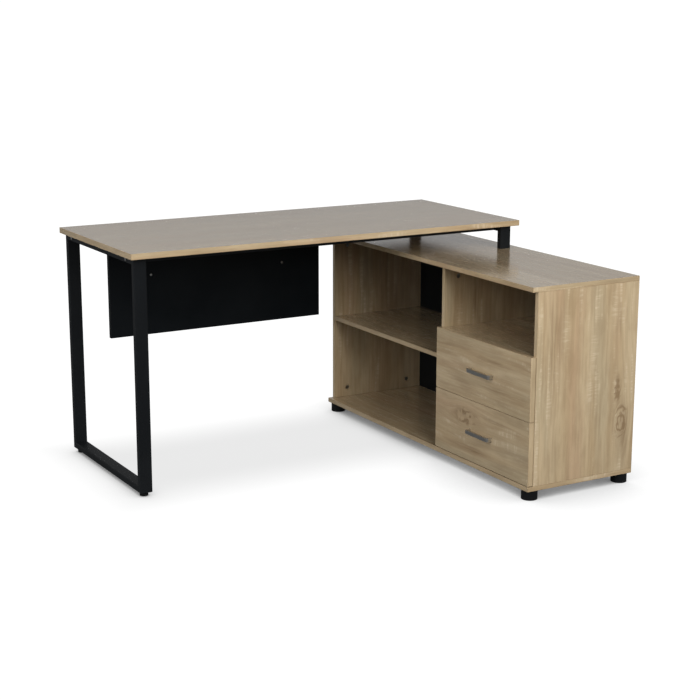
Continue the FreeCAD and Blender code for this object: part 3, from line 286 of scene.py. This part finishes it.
def edge_distance(shader, node):
    """How far a point on a board's face is from the nearest edge of that board.

    The point's gap to the face that it is on is about 0, so the distance is the middle one
    of its gaps along the three axes."""
    low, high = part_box(node)
    middle, half = (low + high) / 2, (high - low) / 2
    gaps = []
    for value, centre, reach in zip(shader.split(shader.place), middle, half):
        offset = shader.math("ABSOLUTE", shader.math("SUBTRACT", value, centre))
        gaps.append(shader.math("SUBTRACT", reach, offset))
    total = shader.math("ADD", shader.math("ADD", gaps[0], gaps[1]), gaps[2])
    lowest = shader.math("MINIMUM", shader.math("MINIMUM", gaps[0], gaps[1]), gaps[2])
    highest = shader.math("MAXIMUM", shader.math("MAXIMUM", gaps[0], gaps[1]), gaps[2])
    return shader.math("SUBTRACT", shader.math("SUBTRACT", total, lowest), highest)


def worn_rim(shader, rim, patches, levels):
    """How worn a board's rim is: only near its edge, and in patches."""
    near = shader.steps(rim, *WORN_RIM)
    return shader.math("MULTIPLY", near, shader.steps(patches, *levels))


def grain_place(shader, node, grain):
    """Where a point is along the grain, across it and through the board, with end faces turned."""
    low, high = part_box(node)
    size = high - low
    lengthwise = AXES.index(grain)
    through = min(range(3), key=lambda axis: size[axis])
    across = 3 - lengthwise - through
    place = shader.split(shader.place)
    ends = shader.split(shader.source.outputs["Normal"])[lengthwise]
    facing = shader.steps(shader.math("ABSOLUTE", ends), *END_FACE_LEVELS)
    first, second = place[lengthwise], place[across]
    gap = shader.math("SUBTRACT", second, first)
    along = shader.math("MULTIPLY_ADD", gap, facing, first)
    aside = shader.math("SUBTRACT", shader.math("ADD", first, second), along)
    return (along, aside, place[through]), (low[lengthwise], low[across])


def square_reach(shader, along, across, mark, corner):
    """How far a point is from a mark, squared, with 1 at the mark's reach."""
    start, side, long, wide = mark
    lengthwise = shader.math("SUBTRACT", along, corner[0] + start)
    sideways = shader.math("SUBTRACT", across, corner[1] + side)
    lengthwise = shader.math("DIVIDE", lengthwise, long)
    sideways = shader.math("DIVIDE", sideways, wide)
    square = shader.math("MULTIPLY", lengthwise, lengthwise)
    return shader.math("MULTIPLY_ADD", sideways, sideways, square)


def bend_round_knots(shader, along, across, knots, corner):
    """The place across the grain, bent so that the grain flows round each knot."""
    softness = 0.35
    for knot in knots:
        square = square_reach(shader, along, across, knot, corner)
        push = shader.math("DIVIDE", 1.0, shader.math("ADD", square, softness))
        sideways = shader.math("SUBTRACT", across, corner[1] + knot[1])
        across = shader.math("SUBTRACT", across, shader.math("MULTIPLY", sideways, push))
    return across


def near_marks(shader, along, across, marks, corner):
    """How near a point is to any of the marks, from 0 to 1, or None where there are none."""
    near = None
    for mark in marks:
        square = square_reach(shader, along, across, mark, corner)
        core = shader.math("EXPONENT", shader.math("MULTIPLY", square, -1.0))
        near = core if near is None else shader.math("MAXIMUM", near, core)
    return near


def sway_grain(shader, place, cut):
    """The board's place on the print, with the grain swung gently sideways, and that swing."""
    offset = tuple(start + cut * step for start, step in zip(PRINT_START, PRINT_STEP))
    place = shader.vector("ADD", shader.join(*place), offset)
    sway = shader.noise(place, *SWAY)
    swing = shader.math("MULTIPLY", shader.math("SUBTRACT", sway, 0.5), SWAY_WIDTH)
    return shader.vector("ADD", place, shader.join(0.0, swing, 0.0)), sway


def sawn_marks(shader, layers, sawn_patch):
    """Pale ticks across the grain, in ladders like the marks of a saw."""
    tick_share, even_share = 0.6, 0.4
    ticks = shader.steps(layers["ticks"], *TICK_LEVELS)
    ladder = shader.steps(layers["ladder"], *LADDER_LEVELS)
    if sawn_patch:
        ladder = shader.math("MAXIMUM", ladder, sawn_patch)
    marks = shader.math("MULTIPLY_ADD", ticks, tick_share, even_share)
    return shader.math("MULTIPLY", marks, ladder)


def grain_colour(shader, layers, pores, sawn):
    """The oak's colour away from its knots: bands, drifts of hue, dark figure and saw marks."""
    figure_strength, pore_strength, sawn_strength = 0.22, 0.24, 0.62
    colour = shader.mix(shader.steps(layers["bands"], *BAND_LEVELS), OAK_TAN, OAK_CREAM)
    for layer, levels, towards in OAK_DRIFTS:
        colour = shader.mix(shader.steps(layers[layer], *levels), colour, towards)
    figure = shader.steps(layers["figure"], *FIGURE_LEVELS)
    colour = shader.tint(colour, figure, figure_strength, OAK_DARK)
    colour = shader.tint(colour, pores, pore_strength, OAK_DARK)
    colour = shader.tint(colour, sawn, sawn_strength, OAK_PALE)
    return shader.mix(shader.steps(layers["fibres"], *FIBRE_LEVELS), colour, OAK_DARK)


def darken_knots(shader, colour, place, knot):
    """The colour with dark swirling rings in the knots."""
    knot_turns, swirl_turns, half_ring = 1.1, 4.4, 0.5
    swirl = shader.noise(place, *SWIRL)
    turns = shader.math("MULTIPLY", swirl, swirl_turns)
    wave = shader.math("MULTIPLY_ADD", knot, knot_turns, turns)
    rings = shader.steps(shader.math("PINGPONG", wave, half_ring), *RING_LEVELS)
    core = shader.steps(knot, *KNOT_LEVELS)
    return shader.mix(shader.math("MULTIPLY", core, rings), colour, OAK_DARK)


def band_edges(shader, colour, node, sway):
    """The colour with the line of the board's edge band, and its worn rim."""
    worn_levels, worn_strength = (0.40, 0.62), 0.35
    rim = edge_distance(shader, node)
    line = shader.steps(rim, *BAND_LINE_STARTS)
    line = shader.math("MULTIPLY", line, shader.steps(rim, *BAND_LINE_ENDS))
    colour = shader.tint(colour, line, BAND_LINE_STRENGTH, OAK_DARK)
    return shader.tint(colour, worn_rim(shader, rim, sway, worn_levels), worn_strength, OAK_CREAM)


def oak(node, grain, cut):
    """Light rough-sawn oak print on a melamine board, with banded edges, under clear lacquer."""
    pore_depth, sawn_height = -0.7, 0.3
    smooth, streak_rough, pore_rough = 0.19, 0.10, 0.12
    lacquer_rough, lacquer_bend = 0.14, 1.5
    shader = Shader(f"oak_{node}")
    (along, across, through), corner = grain_place(shader, node, grain)
    sawn_patch, shade, knot = (
        near_marks(shader, along, across, marks.get(node, []), corner)
        for marks in (SAWN_PATCHES, SHADES, KNOTS)
    )
    across = bend_round_knots(shader, along, across, KNOTS.get(node, []), corner)
    place, sway = sway_grain(shader, (along, across, through), cut)
    layers = {name: shader.noise(place, *layer) for name, layer in OAK_LAYERS.items()}
    streaks = layers["streaks"]
    pores = shader.steps(layers["pores"], *PORE_LEVELS)
    sawn = sawn_marks(shader, layers, sawn_patch)

    colour = grain_colour(shader, layers, pores, sawn)
    if shade:
        ragged = shader.steps(streaks, *SHADE_LEVELS)
        colour = shader.mix(shader.math("MULTIPLY", shade, ragged), colour, OAK_DARK)
    if knot:
        colour = darken_knots(shader, colour, place, knot)
    colour = band_edges(shader, colour, node, sway)

    height = shader.math("MULTIPLY_ADD", pores, pore_depth, layers["fibres"])
    height = shader.math("MULTIPLY_ADD", sawn, sawn_height, height)
    rough = shader.math("MULTIPLY_ADD", streaks, streak_rough, smooth)
    rough = shader.math("MULTIPLY_ADD", pores, pore_rough, rough)
    normal = shader.bump(height, OAK_RELIEF)
    return shader.finish(Base_Color=colour, Roughness=rough, Normal=normal, IOR=lacquer_bend,
                         Coat_Weight=1.0, Coat_Roughness=lacquer_rough, Coat_IOR=lacquer_bend,
                         Coat_Normal=normal)


def black_melamine(node):
    """Black board with a fine pressed grain and slightly worn edges."""
    cloud_levels, worn_levels, worn_strength = (0.3, 0.7), (0.4, 0.6), 0.5
    smooth, pebble_rough, mirror = 0.36, 0.16, 0.17
    shader = Shader(f"black_{node}")
    pebble = shader.noise(shader.place, (900, 900, 900), detail=3, roughness=0.6)
    cloud = shader.noise(shader.place, (6, 6, 6), detail=3)
    worn = worn_rim(shader, edge_distance(shader, node), cloud, worn_levels)
    colour = shader.mix(shader.steps(cloud, *cloud_levels), BLACK_BOARD, CLOUDY_BOARD)
    colour = shader.tint(colour, worn, worn_strength, WORN_BOARD)
    rough = shader.math("MULTIPLY_ADD", pebble, pebble_rough, smooth)
    normal = shader.bump(pebble, BOARD_RELIEF)
    return shader.finish(Base_Color=colour, Roughness=rough, Normal=normal,
                         Specular_IOR_Level=mirror)


def powder_coat():
    """Black powder coat on steel: fine orange peel, a little dust and small specks."""
    dust_levels, speck_levels, speck_strength = (0.35, 0.7), (0.66, 0.74), 0.35
    smooth, peel_rough, dust_rough, mirror = 0.34, 0.22, 0.10, 0.27
    shader = Shader("black_powder_coat")
    peel = shader.noise(shader.place, (620, 620, 620), detail=3, roughness=0.55)
    specks = shader.noise(shader.place, (2300, 2300, 2300), detail=1)
    dust = shader.noise(shader.place, (7, 7, 3), detail=4, roughness=0.6)
    colour = shader.mix(shader.steps(dust, *dust_levels), BLACK_PAINT, DUSTY_PAINT)
    colour = shader.tint(colour, shader.steps(specks, *speck_levels), speck_strength, PAINT_SPECK)
    rough = shader.math("MULTIPLY_ADD", peel, peel_rough, smooth)
    rough = shader.math("MULTIPLY_ADD", dust, dust_rough, rough)
    normal = shader.bump(peel, PAINT_RELIEF)
    return shader.finish(Base_Color=colour, Roughness=rough, Normal=normal,
                         Specular_IOR_Level=mirror)


def zinc_plate():
    """Zinc-plated steel, slightly clouded, with fine rolling lines."""
    cloud_levels = (0.35, 0.7)
    smooth, cloud_rough, line_rough = 0.20, 0.22, 0.08
    shader = Shader("zinc_plate")
    lines = shader.noise(shader.place, (40, 1800, 1800), detail=2)
    cloud = shader.noise(shader.place, (90, 90, 90), detail=4, roughness=0.65)
    colour = shader.mix(shader.steps(cloud, *cloud_levels), ZINC, CLOUDY_ZINC)
    rough = shader.math("MULTIPLY_ADD", cloud, cloud_rough, smooth)
    rough = shader.math("MULTIPLY_ADD", lines, line_rough, rough)
    normal = shader.bump(lines, ZINC_RELIEF)
    return shader.finish(Base_Color=colour, Roughness=rough, Normal=normal, Metallic=1.0)


def bright_chrome():
    """The handles: bright plate with a trace of polishing lines and finger marks."""
    tone_levels, mark_levels = (0.4, 0.7), (0.45, 0.7)
    smooth, mark_rough, line_rough = 0.26, 0.08, 0.05
    shader = Shader("bright_chrome")
    lines = shader.noise(shader.place, (1500, 30, 1500), detail=2)
    marks = shader.noise(shader.place, (70, 70, 70), detail=4, roughness=0.6)
    colour = shader.mix(shader.steps(marks, *tone_levels), CHROME, MARKED_CHROME)
    rough = shader.math("MULTIPLY_ADD", shader.steps(marks, *mark_levels), mark_rough, smooth)
    rough = shader.math("MULTIPLY_ADD", lines, line_rough, rough)
    normal = shader.bump(lines, CHROME_RELIEF)
    return shader.finish(Base_Color=colour, Roughness=rough, Normal=normal, Metallic=1.0)


def moulded_plastic():
    """Black feet and glides: matt moulded plastic with scuffs low down."""
    scuff_levels, scuff_heights, scuff_strength = (0.52, 0.68), (12 * MM, 0.0), 0.5
    smooth, spark_rough, scuff_rough, mirror = 0.34, 0.20, 0.20, 0.4
    shader = Shader("black_moulded_plastic")
    spark = shader.noise(shader.place, (1400, 1400, 1400), detail=3, roughness=0.6)
    scuffs = shader.noise(shader.place, (260, 260, 60), detail=4, roughness=0.65)
    low_down = shader.steps(shader.split(shader.place)[2], *scuff_heights)
    scuffs = shader.math("MULTIPLY", shader.steps(scuffs, *scuff_levels), low_down)
    colour = shader.mix(shader.math("MULTIPLY", scuffs, scuff_strength),
                        BLACK_PLASTIC, SCUFFED_PLASTIC)
    rough = shader.math("MULTIPLY_ADD", spark, spark_rough, smooth)
    rough = shader.math("MULTIPLY_ADD", scuffs, scuff_rough, rough)
    normal = shader.bump(spark, PLASTIC_RELIEF)
    return shader.finish(Base_Color=colour, Roughness=rough, Normal=normal,
                         Specular_IOR_Level=mirror)


def bare_wood(name, colour, dark, cells):
    """Unfinished wood: beech dowels and the pressed fibre of the drawer floors."""
    fibre_levels, fleck_levels, fleck_strength = (0.35, 0.7), (0.6, 0.7), 0.4
    smooth, fibre_rough = 0.52, 0.25
    shader = Shader(name)
    fibres = shader.noise(shader.place, cells, detail=5, roughness=0.65)
    flecks = shader.noise(shader.place, (900, 900, 900), detail=2)
    tone = shader.mix(shader.steps(fibres, *fibre_levels), dark, colour)
    tone = shader.tint(tone, shader.steps(flecks, *fleck_levels), fleck_strength, dark)
    rough = shader.math("MULTIPLY_ADD", fibres, fibre_rough, smooth)
    normal = shader.bump(fibres, WOOD_RELIEF)
    return shader.finish(Base_Color=tone, Roughness=rough, Normal=normal)


def paint(node, material):
    """Give a CAD node its finish through its own material slots."""
    thing = NODES[node]
    if not thing.material_slots:
        thing.data.materials.append(material)
    for slot in thing.material_slots:
        slot.material = material


def paint_nodes():
    """Give every CAD node a finish: the oak boards by name, the rest by their record slots."""
    for node, (grain, cut) in OAK_BOARDS.items():
        paint(node, oak(node, grain, cut))
    shared = {
        "black_steel": powder_coat(),
        "zinc_steel": zinc_plate(),
        "bright_metal": bright_chrome(),
        "black_plastic": moulded_plastic(),
        "hardboard": bare_wood("hardboard", HARDBOARD, HARDBOARD_DARK, (300, 300, 300)),
        "beech": bare_wood("beech", BEECH, BEECH_DARK, (60, 60, 60)),
    }
    for part in frame["record"]["subparts"]:
        node, slot = part["node"], part["material_slot"]
        if slot == "black_laminate":
            paint(node, black_melamine(node))
        elif node not in OAK_BOARDS:
            paint(node, shared[slot])
    return shared


# Small hardware that the frame leaves out: the cages that hold the slides' balls apart, and
# the screws and brackets that hold the drawer boxes together.
SMOOTH_ANGLE = math.radians(35)
BALL_COUNT = 48
BALLS_PER_ROW = 6
CAGE_WIDE = 4.6 * MM
CAGE_SHEET = 0.6 * MM
CAGE_HOLE = 1.6 * MM
CAGE_END = 5 * MM
HOLE_POINTS = 16
SLIDE_SHEET = 1.2 * MM
SCREW_HEAD = 3.4 * MM
SCREW_HEAD_HIGH = 1.7 * MM
FLUSH_HEAD_HIGH = 0.35 * MM
HEAD_POINTS = 24
# The screws' places, as shares of the slide's length and of the drawer back's height.
SLIDE_SCREWS = (0.10, 0.52, 0.93)
BOX_SCREWS = (0.08, 0.92)
# A screw head's profile, as shares of its radius and height. Its cross recess is an arm's
# length and half width, as shares of the radius, at the mouth and at the floor.
HEAD_PROFILE = ((1.0, 0.0), (1.0, 0.35), (0.93, 0.68), (0.76, 0.92), (0.60, 1.0))
RECESS_MOUTH = (0.48, 0.10)
RECESS_FLOOR = (0.30, 0.08)
RECESS_FLOOR_HIGH = 0.35
CORNER_PLATE = 18 * MM
CORNER_SHEET = 1.2 * MM
CORNER_TALL = 26 * MM
CORNER_BEND = 1.8        # the inside of the bend, in sheets from the outside
CORNER_SCREW = 0.58      # a screw's place, as a share of the plate's leg
CORNER_ROUND = 0.25 * MM
CORNER_SHARP = 1.0       # edges that turn by more than this, in radians, are rounded
# The way along Y that the outer face of each drawer side looks.
OUTWARD = {"right": -1, "left": 1}


def new_piece(name, mesh, material, body):
    """A finished piece on a body, smooth where its faces meet gently."""
    data = bpy.data.meshes.new(name)
    mesh.normal_update()
    mesh.to_mesh(data)
    mesh.free()
    data.materials.append(material)
    piece = bpy.data.objects.new(name, data)
    bpy.context.scene.collection.objects.link(piece)
    data.shade_smooth()
    data.set_sharp_from_angle(angle=SMOOTH_ANGLE)
    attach(piece, body)


def ring(mesh, centre, radius, count):
    """Points on a level circle."""
    x, y, z = centre
    turns = [2 * math.pi * index / count for index in range(count)]
    return [
        mesh.verts.new((x + radius * math.cos(turn), y + radius * math.sin(turn), z))
        for turn in turns
    ]


def loop_edges(mesh, points):
    """The edges of a closed loop through the points."""
    return [mesh.edges.new((point, points[index - 1])) for index, point in enumerate(points)]


def skin(mesh, lower, upper):
    """The wall between two rings of as many points."""
    for index in range(len(lower)):
        before = index - 1
        mesh.faces.new((lower[before], lower[index], upper[index], upper[before]))


def cross_points(mesh, reach, half, height):
    """The outline of a cross-head recess."""
    corner = [(reach, half), (half, half), (half, reach)]
    points = []
    for _ in range(4):
        points += [mesh.verts.new((x, y, height)) for x, y in corner]
        corner = [(-y, x) for x, y in corner]
    return points


def add_screw_head(mesh, place, outward, radius, height):
    """A rounded screw head with a cross recess, standing on a surface."""
    head = bmesh.new()
    rings = [
        ring(head, (0, 0, height * high), radius * wide, HEAD_POINTS)
        for wide, high in HEAD_PROFILE
    ]
    for lower, upper in zip(rings, rings[1:]):
        skin(head, lower, upper)
    mouth_reach, mouth_half = (radius * share for share in RECESS_MOUTH)
    floor_reach, floor_half = (radius * share for share in RECESS_FLOOR)
    mouth = cross_points(head, mouth_reach, mouth_half, height)
    floor = cross_points(head, floor_reach, floor_half, height * RECESS_FLOOR_HIGH)
    top = rings[-1]
    rim = [head.edges.get((point, top[index - 1])) for index, point in enumerate(top)]
    bmesh.ops.triangle_fill(head, use_beauty=True, edges=rim + loop_edges(head, mouth))
    skin(head, floor, mouth)
    head.faces.new(floor)
    bmesh.ops.recalc_face_normals(head, faces=head.faces)
    turn = Vector(outward).to_track_quat("Z", "Y").to_matrix().to_4x4()
    bmesh.ops.transform(head, matrix=Matrix.Translation(place) @ turn, verts=head.verts)
    copy = bpy.data.meshes.new("head")
    head.to_mesh(copy)
    head.free()
    mesh.from_mesh(copy)
    bpy.data.meshes.remove(copy)


def ball_rows(node):
    """The centres of the balls of each row."""
    points = [vertex.co for vertex in NODES[node].data.vertices]
    share = len(points) // BALL_COUNT
    balls = []
    for index in range(BALL_COUNT):
        mine = points[index * share:(index + 1) * share]
        balls.append(sum(mine, Vector()) / share)
    return [balls[start:start + BALLS_PER_ROW] for start in range(0, BALL_COUNT, BALLS_PER_ROW)]


def add_cage(mesh, row):
    """A thin strip along a row of balls, with a hole for each ball."""
    xs = [ball.x for ball in row]
    low, high = min(xs) - CAGE_END, max(xs) + CAGE_END
    y, z = row[0].y, row[0].z
    under = z - CAGE_SHEET / 2
    half = CAGE_WIDE / 2
    sides = ((low, y - half), (high, y - half), (high, y + half), (low, y + half))
    edges = loop_edges(mesh, [mesh.verts.new((x, side, under)) for x, side in sides])
    for ball in row:
        edges += loop_edges(mesh, ring(mesh, (ball.x, y, under), CAGE_HOLE, HOLE_POINTS))
    sheet = bmesh.ops.triangle_fill(mesh, use_beauty=True, edges=edges)
    faces = [item for item in sheet["geom"] if isinstance(item, bmesh.types.BMFace)]
    grown = bmesh.ops.extrude_face_region(mesh, geom=faces, use_keep_orig=True)
    top = [item for item in grown["geom"] if isinstance(item, bmesh.types.BMVert)]
    bmesh.ops.translate(mesh, verts=top, vec=(0, 0, CAGE_SHEET))


def add_ball_cages(prefix, material):
    """The cages that hold the balls of a drawer's two slides apart."""
    mesh = bmesh.new()
    for row in ball_rows(f"{prefix}_slide_balls"):
        add_cage(mesh, row)
    bmesh.ops.recalc_face_normals(mesh, faces=mesh.faces)
    new_piece(f"{prefix}_ball_cages", mesh, material, f"{prefix}_slide_middles")


def side_face(prefix, side, facing):
    """The y of the face of a drawer's side that looks that way along Y."""
    low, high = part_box(f"{prefix}_drawer_{side}_side")
    return high.y if facing > 0 else low.y


def add_slide_screws(prefix, material):
    """The screws that hold the inner slide members to the drawer's sides."""
    low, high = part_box(f"{prefix}_slide_inner_members")
    level = (low.z + high.z) / 2
    mesh = bmesh.new()
    for side, outward in OUTWARD.items():
        face = side_face(prefix, side, outward) + outward * SLIDE_SHEET
        for share in SLIDE_SCREWS:
            place = Vector((low.x + (high.x - low.x) * share, face, level))
            add_screw_head(mesh, place, (0, outward, 0), SCREW_HEAD, SCREW_HEAD_HIGH)
    new_piece(f"{prefix}_slide_screw_heads", mesh, material, f"{prefix}_drawer")


def add_box_screws(prefix, material):
    """The screws through the drawer's sides into its back."""
    low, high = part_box(f"{prefix}_drawer_back")
    middle = (low.x + high.x) / 2
    mesh = bmesh.new()
    for side, outward in OUTWARD.items():
        face = side_face(prefix, side, outward)
        for share in BOX_SCREWS:
            place = Vector((middle, face, low.z + (high.z - low.z) * share))
            add_screw_head(mesh, place, (0, outward, 0), SCREW_HEAD, FLUSH_HEAD_HIGH)
    new_piece(f"{prefix}_box_screw_heads", mesh, material, f"{prefix}_drawer")


def add_bent_plate(mesh, front, face, inward, level):
    """An upright angle of sheet in the corner between a drawer's front and one side."""
    near, far = face + inward * CORNER_SHEET, face + inward * CORNER_PLATE
    bend = face + inward * CORNER_SHEET * CORNER_BEND
    section = (
        (front, face), (front + CORNER_PLATE, face), (front + CORNER_PLATE, near),
        (front + CORNER_SHEET * CORNER_BEND, near), (front + CORNER_SHEET, bend),
        (front + CORNER_SHEET, far), (front, far),
    )
    low = [mesh.verts.new((x, y, level - CORNER_TALL / 2)) for x, y in section]
    high = [mesh.verts.new((x, y, level + CORNER_TALL / 2)) for x, y in section]
    skin(mesh, low, high)
    mesh.faces.new(low)
    mesh.faces.new(high)


def add_corner_plates(prefix, material):
    """The bent plates inside the drawer that hold its front to its sides, and their screws."""
    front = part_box(f"{prefix}_drawer_front")[1].x
    corners = []
    for side, outward in OUTWARD.items():
        low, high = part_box(f"{prefix}_drawer_{side}_side")
        corners.append((side_face(prefix, side, -outward), -outward, (low.z + high.z) / 2))
    mesh = bmesh.new()
    for corner in corners:
        add_bent_plate(mesh, front, *corner)
    bmesh.ops.recalc_face_normals(mesh, faces=mesh.faces)
    sharp = [edge for edge in mesh.edges if edge.calc_face_angle(0) > CORNER_SHARP]
    bmesh.ops.bevel(mesh, geom=sharp, offset=CORNER_ROUND, segments=2, affect="EDGES")
    for face, inward, level in corners:
        on_side = Vector((front + CORNER_PLATE * CORNER_SCREW, face + inward * CORNER_SHEET, level))
        add_screw_head(mesh, on_side, (0, inward, 0), SCREW_HEAD, SCREW_HEAD_HIGH)
        aside = face + inward * CORNER_PLATE * CORNER_SCREW
        on_front = Vector((front + CORNER_SHEET, aside, level))
        add_screw_head(mesh, on_front, (1, 0, 0), SCREW_HEAD, SCREW_HEAD_HIGH)
    new_piece(f"{prefix}_corner_plates", mesh, material, f"{prefix}_drawer")


# The studio: a bright backdrop behind the desk, softboxes in front and at the left, two weak
# fill lights, and little light from anywhere else. The floor looks white and gives little
# light back. Glossy rays see no softbox, and meet a faint even sheen instead.
FLOOR_HALF = 14.0
FLOOR_GLOW = 0.16
FLOOR_SEEN = 1.03
BACKDROP_SEEN = 1.05
BACKDROP = 0.45
ROOM = 0.042
SHEEN = 0.42
OCCLUSION_SAMPLES = 12
# How far the floor's painted shadows reach, in metres, and the levels that they fade between.
CONTACT_REACH = 0.07
CONTACT_LEVELS = (0.08, 0.50, 0.27, 1.0)
BESIDE_REACH = 0.32
BESIDE_LEVELS = (0.20, 1.00, 0.62, 1.03)
DESKTOP_ROUND = 0.1
DESKTOP_LEVELS = (-0.18, 0.22, 0.79, 1.0)
# Where the backdrop starts at its sides and stops at its top, and where the sheen starts, as
# parts of a direction along +Y and up.
BACKDROP_SIDES = (0.52, 0.80)
BACKDROP_TOP = (0.44, 0.58)
SHEEN_SIDES = (0.70, 0.30)


def occlusion(shader, reach):
    """How open the floor is within a distance, from 0 to 1."""
    node = shader.new("AmbientOcclusion")
    node.samples = OCCLUSION_SAMPLES
    node.inputs["Distance"].default_value = reach
    return node.outputs["AO"]


def under_desktop(shader):
    """A faint wide painted shadow on the floor under the desktop's footprint."""
    low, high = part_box("desktop")
    gaps = []
    for value, first, last in zip(shader.split(shader.place)[:2], low, high):
        offset = shader.math("ABSOLUTE", shader.math("SUBTRACT", value, (first + last) / 2))
        gaps.append(shader.math("SUBTRACT", offset, (last - first) / 2))
    gap = shader.math("SMOOTH_MAX", *gaps, DESKTOP_ROUND)
    return shader.steps(gap, *DESKTOP_LEVELS)


def add_floor():
    """A plain pale floor that glows, with soft painted shadow where the desk stands close to it."""
    bpy.ops.mesh.primitive_plane_add(size=2 * FLOOR_HALF, location=(0, 0, 0))
    floor = bpy.context.object
    floor.name = "studio_floor"
    shader = Shader("studio_floor")
    # Painted shadow: the floor's glow is dimmed by how closed in it is and by the desktop's
    # footprint.
    contact = shader.steps(occlusion(shader, CONTACT_REACH), *CONTACT_LEVELS)
    beside = shader.steps(occlusion(shader, BESIDE_REACH), *BESIDE_LEVELS)
    shade = shader.math("MULTIPLY", contact, beside)
    shade = shader.math("MULTIPLY", shade, under_desktop(shader))
    seen = shader.new("LightPath").outputs["Is Camera Ray"]
    strength = shader.steps(seen, 0.0, 1.0, FLOOR_GLOW, FLOOR_SEEN)
    glow = shader.new("Emission")
    shader.put(glow.inputs["Strength"], shader.math("MULTIPLY", shade, strength))
    shader.put(shader.tree.nodes["Material Output"].inputs["Surface"], glow.outputs[0])
    shader.tree.nodes.remove(shader.surface)
    floor.data.materials.append(shader.material)


def add_world():
    """A dim room with a bright backdrop behind the desk, up to 30 degrees above the floor."""
    world = bpy.data.worlds.new("studio")
    bpy.context.scene.world = world
    world.use_nodes = True
    nodes = Nodes(world.node_tree)
    _, back, up = nodes.split(nodes.new("TexCoord").outputs["Generated"])
    ray = nodes.new("LightPath")
    behind = nodes.steps(back, *BACKDROP_SIDES, 0.0, BACKDROP - ROOM)
    low_down = nodes.steps(up, *BACKDROP_TOP, 1.0, 0.0)
    elsewhere = nodes.steps(back, *SHEEN_SIDES, 0.0, SHEEN)
    mirrored = nodes.math("MULTIPLY_ADD", elsewhere, ray.outputs["Is Glossy Ray"], ROOM)
    level = nodes.math("MULTIPLY_ADD", behind, low_down, mirrored)
    seen = nodes.new("Mix")
    nodes.put(seen.inputs[0], ray.outputs["Is Camera Ray"])
    nodes.put(seen.inputs[2], level)
    nodes.put(seen.inputs[3], BACKDROP_SEEN)
    background = nodes.tree.nodes["Background"]
    nodes.put(background.inputs["Strength"], seen.outputs[0])
    nodes.put(background.inputs["Color"], WHITE)


# The softboxes: (name, azimuth and elevation in degrees, power in watts, width and height in
# metres).
SOFTBOXES = (
    ("front_low_softbox", 0, 24, 165, 2.8, 1.8),
    ("front_high_softbox", 0, 45, 36, 2.8, 1.8),
    ("corner_low_softbox", -60, 22, 60, 2.4, 1.8),
    ("corner_high_softbox", -60, 45, 22, 2.4, 1.8),
    ("left_low_softbox", -90, 10, 60, 2.4, 1.3),
    ("left_high_softbox", -90, 45, 10, 2.4, 1.8),
)
# Weaker light for the sides that face away from the camera.
FILL_LIGHTS = (
    ("right_fill_light", 95, 9, 50, 2.6, 1.4),
    ("rear_fill_light", 155, 9, 60, 2.6, 1.4),
)
SOFTBOX_DISTANCE = 4.5
SOFTBOX_TARGET = Vector((0.1, -0.1, 0.5))


def direction(azimuth, elevation):
    """The way from the desk to a camera or light, which at azimuth 0 looks along +Y."""
    turn, rise = math.radians(azimuth), math.radians(elevation)
    flat = math.cos(rise)
    return Vector((math.sin(turn) * flat, -math.cos(turn) * flat, math.sin(rise)))


def add_softbox(name, azimuth, elevation, power, width, height):
    """A rectangular area light that faces the desk, and that glossy rays don't see."""
    light = bpy.data.lights.new(name, "AREA")
    light.shape = "RECTANGLE"
    light.size = width
    light.size_y = height
    light.energy = power
    box = bpy.data.objects.new(name, light)
    bpy.context.scene.collection.objects.link(box)
    back = direction(azimuth, elevation)
    box.location = SOFTBOX_TARGET + back * SOFTBOX_DISTANCE
    box.rotation_euler = back.to_track_quat("Z", "Y").to_euler()
    box.visible_glossy = False


def add_camera():
    """The camera, level but for its small roll."""
    back = direction(CAMERA_AZIMUTH, CAMERA_ELEVATION)
    azimuth = math.radians(CAMERA_AZIMUTH)
    right = Vector((math.cos(azimuth), math.sin(azimuth), 0))
    axes = Matrix((right, back.cross(right), back)).transposed()
    axes = axes @ Matrix.Rotation(math.radians(CAMERA_ROLL), 3, "Z")
    camera = bpy.data.cameras.new("camera")
    camera.lens = CAMERA_LENS
    camera.sensor_width = CAMERA_SENSOR
    thing = bpy.data.objects.new("camera", camera)
    thing.matrix_world = Matrix.Translation(CAMERA_PLACE) @ axes.to_4x4()
    bpy.context.scene.collection.objects.link(thing)
    bpy.context.scene.camera = thing


FINISHES = paint_nodes()
for drawer in ("upper", "lower"):
    add_ball_cages(drawer, FINISHES["zinc_steel"])
    add_slide_screws(drawer, FINISHES["zinc_steel"])
    add_box_screws(drawer, FINISHES["zinc_steel"])
    add_corner_plates(drawer, FINISHES["zinc_steel"])
add_floor()
add_world()
for light in SOFTBOXES + FILL_LIGHTS:
    add_softbox(*light)
add_camera()
bpy.context.scene.view_settings.view_transform = "Standard"
bpy.context.scene.view_settings.gamma = VIEW_GAMMA
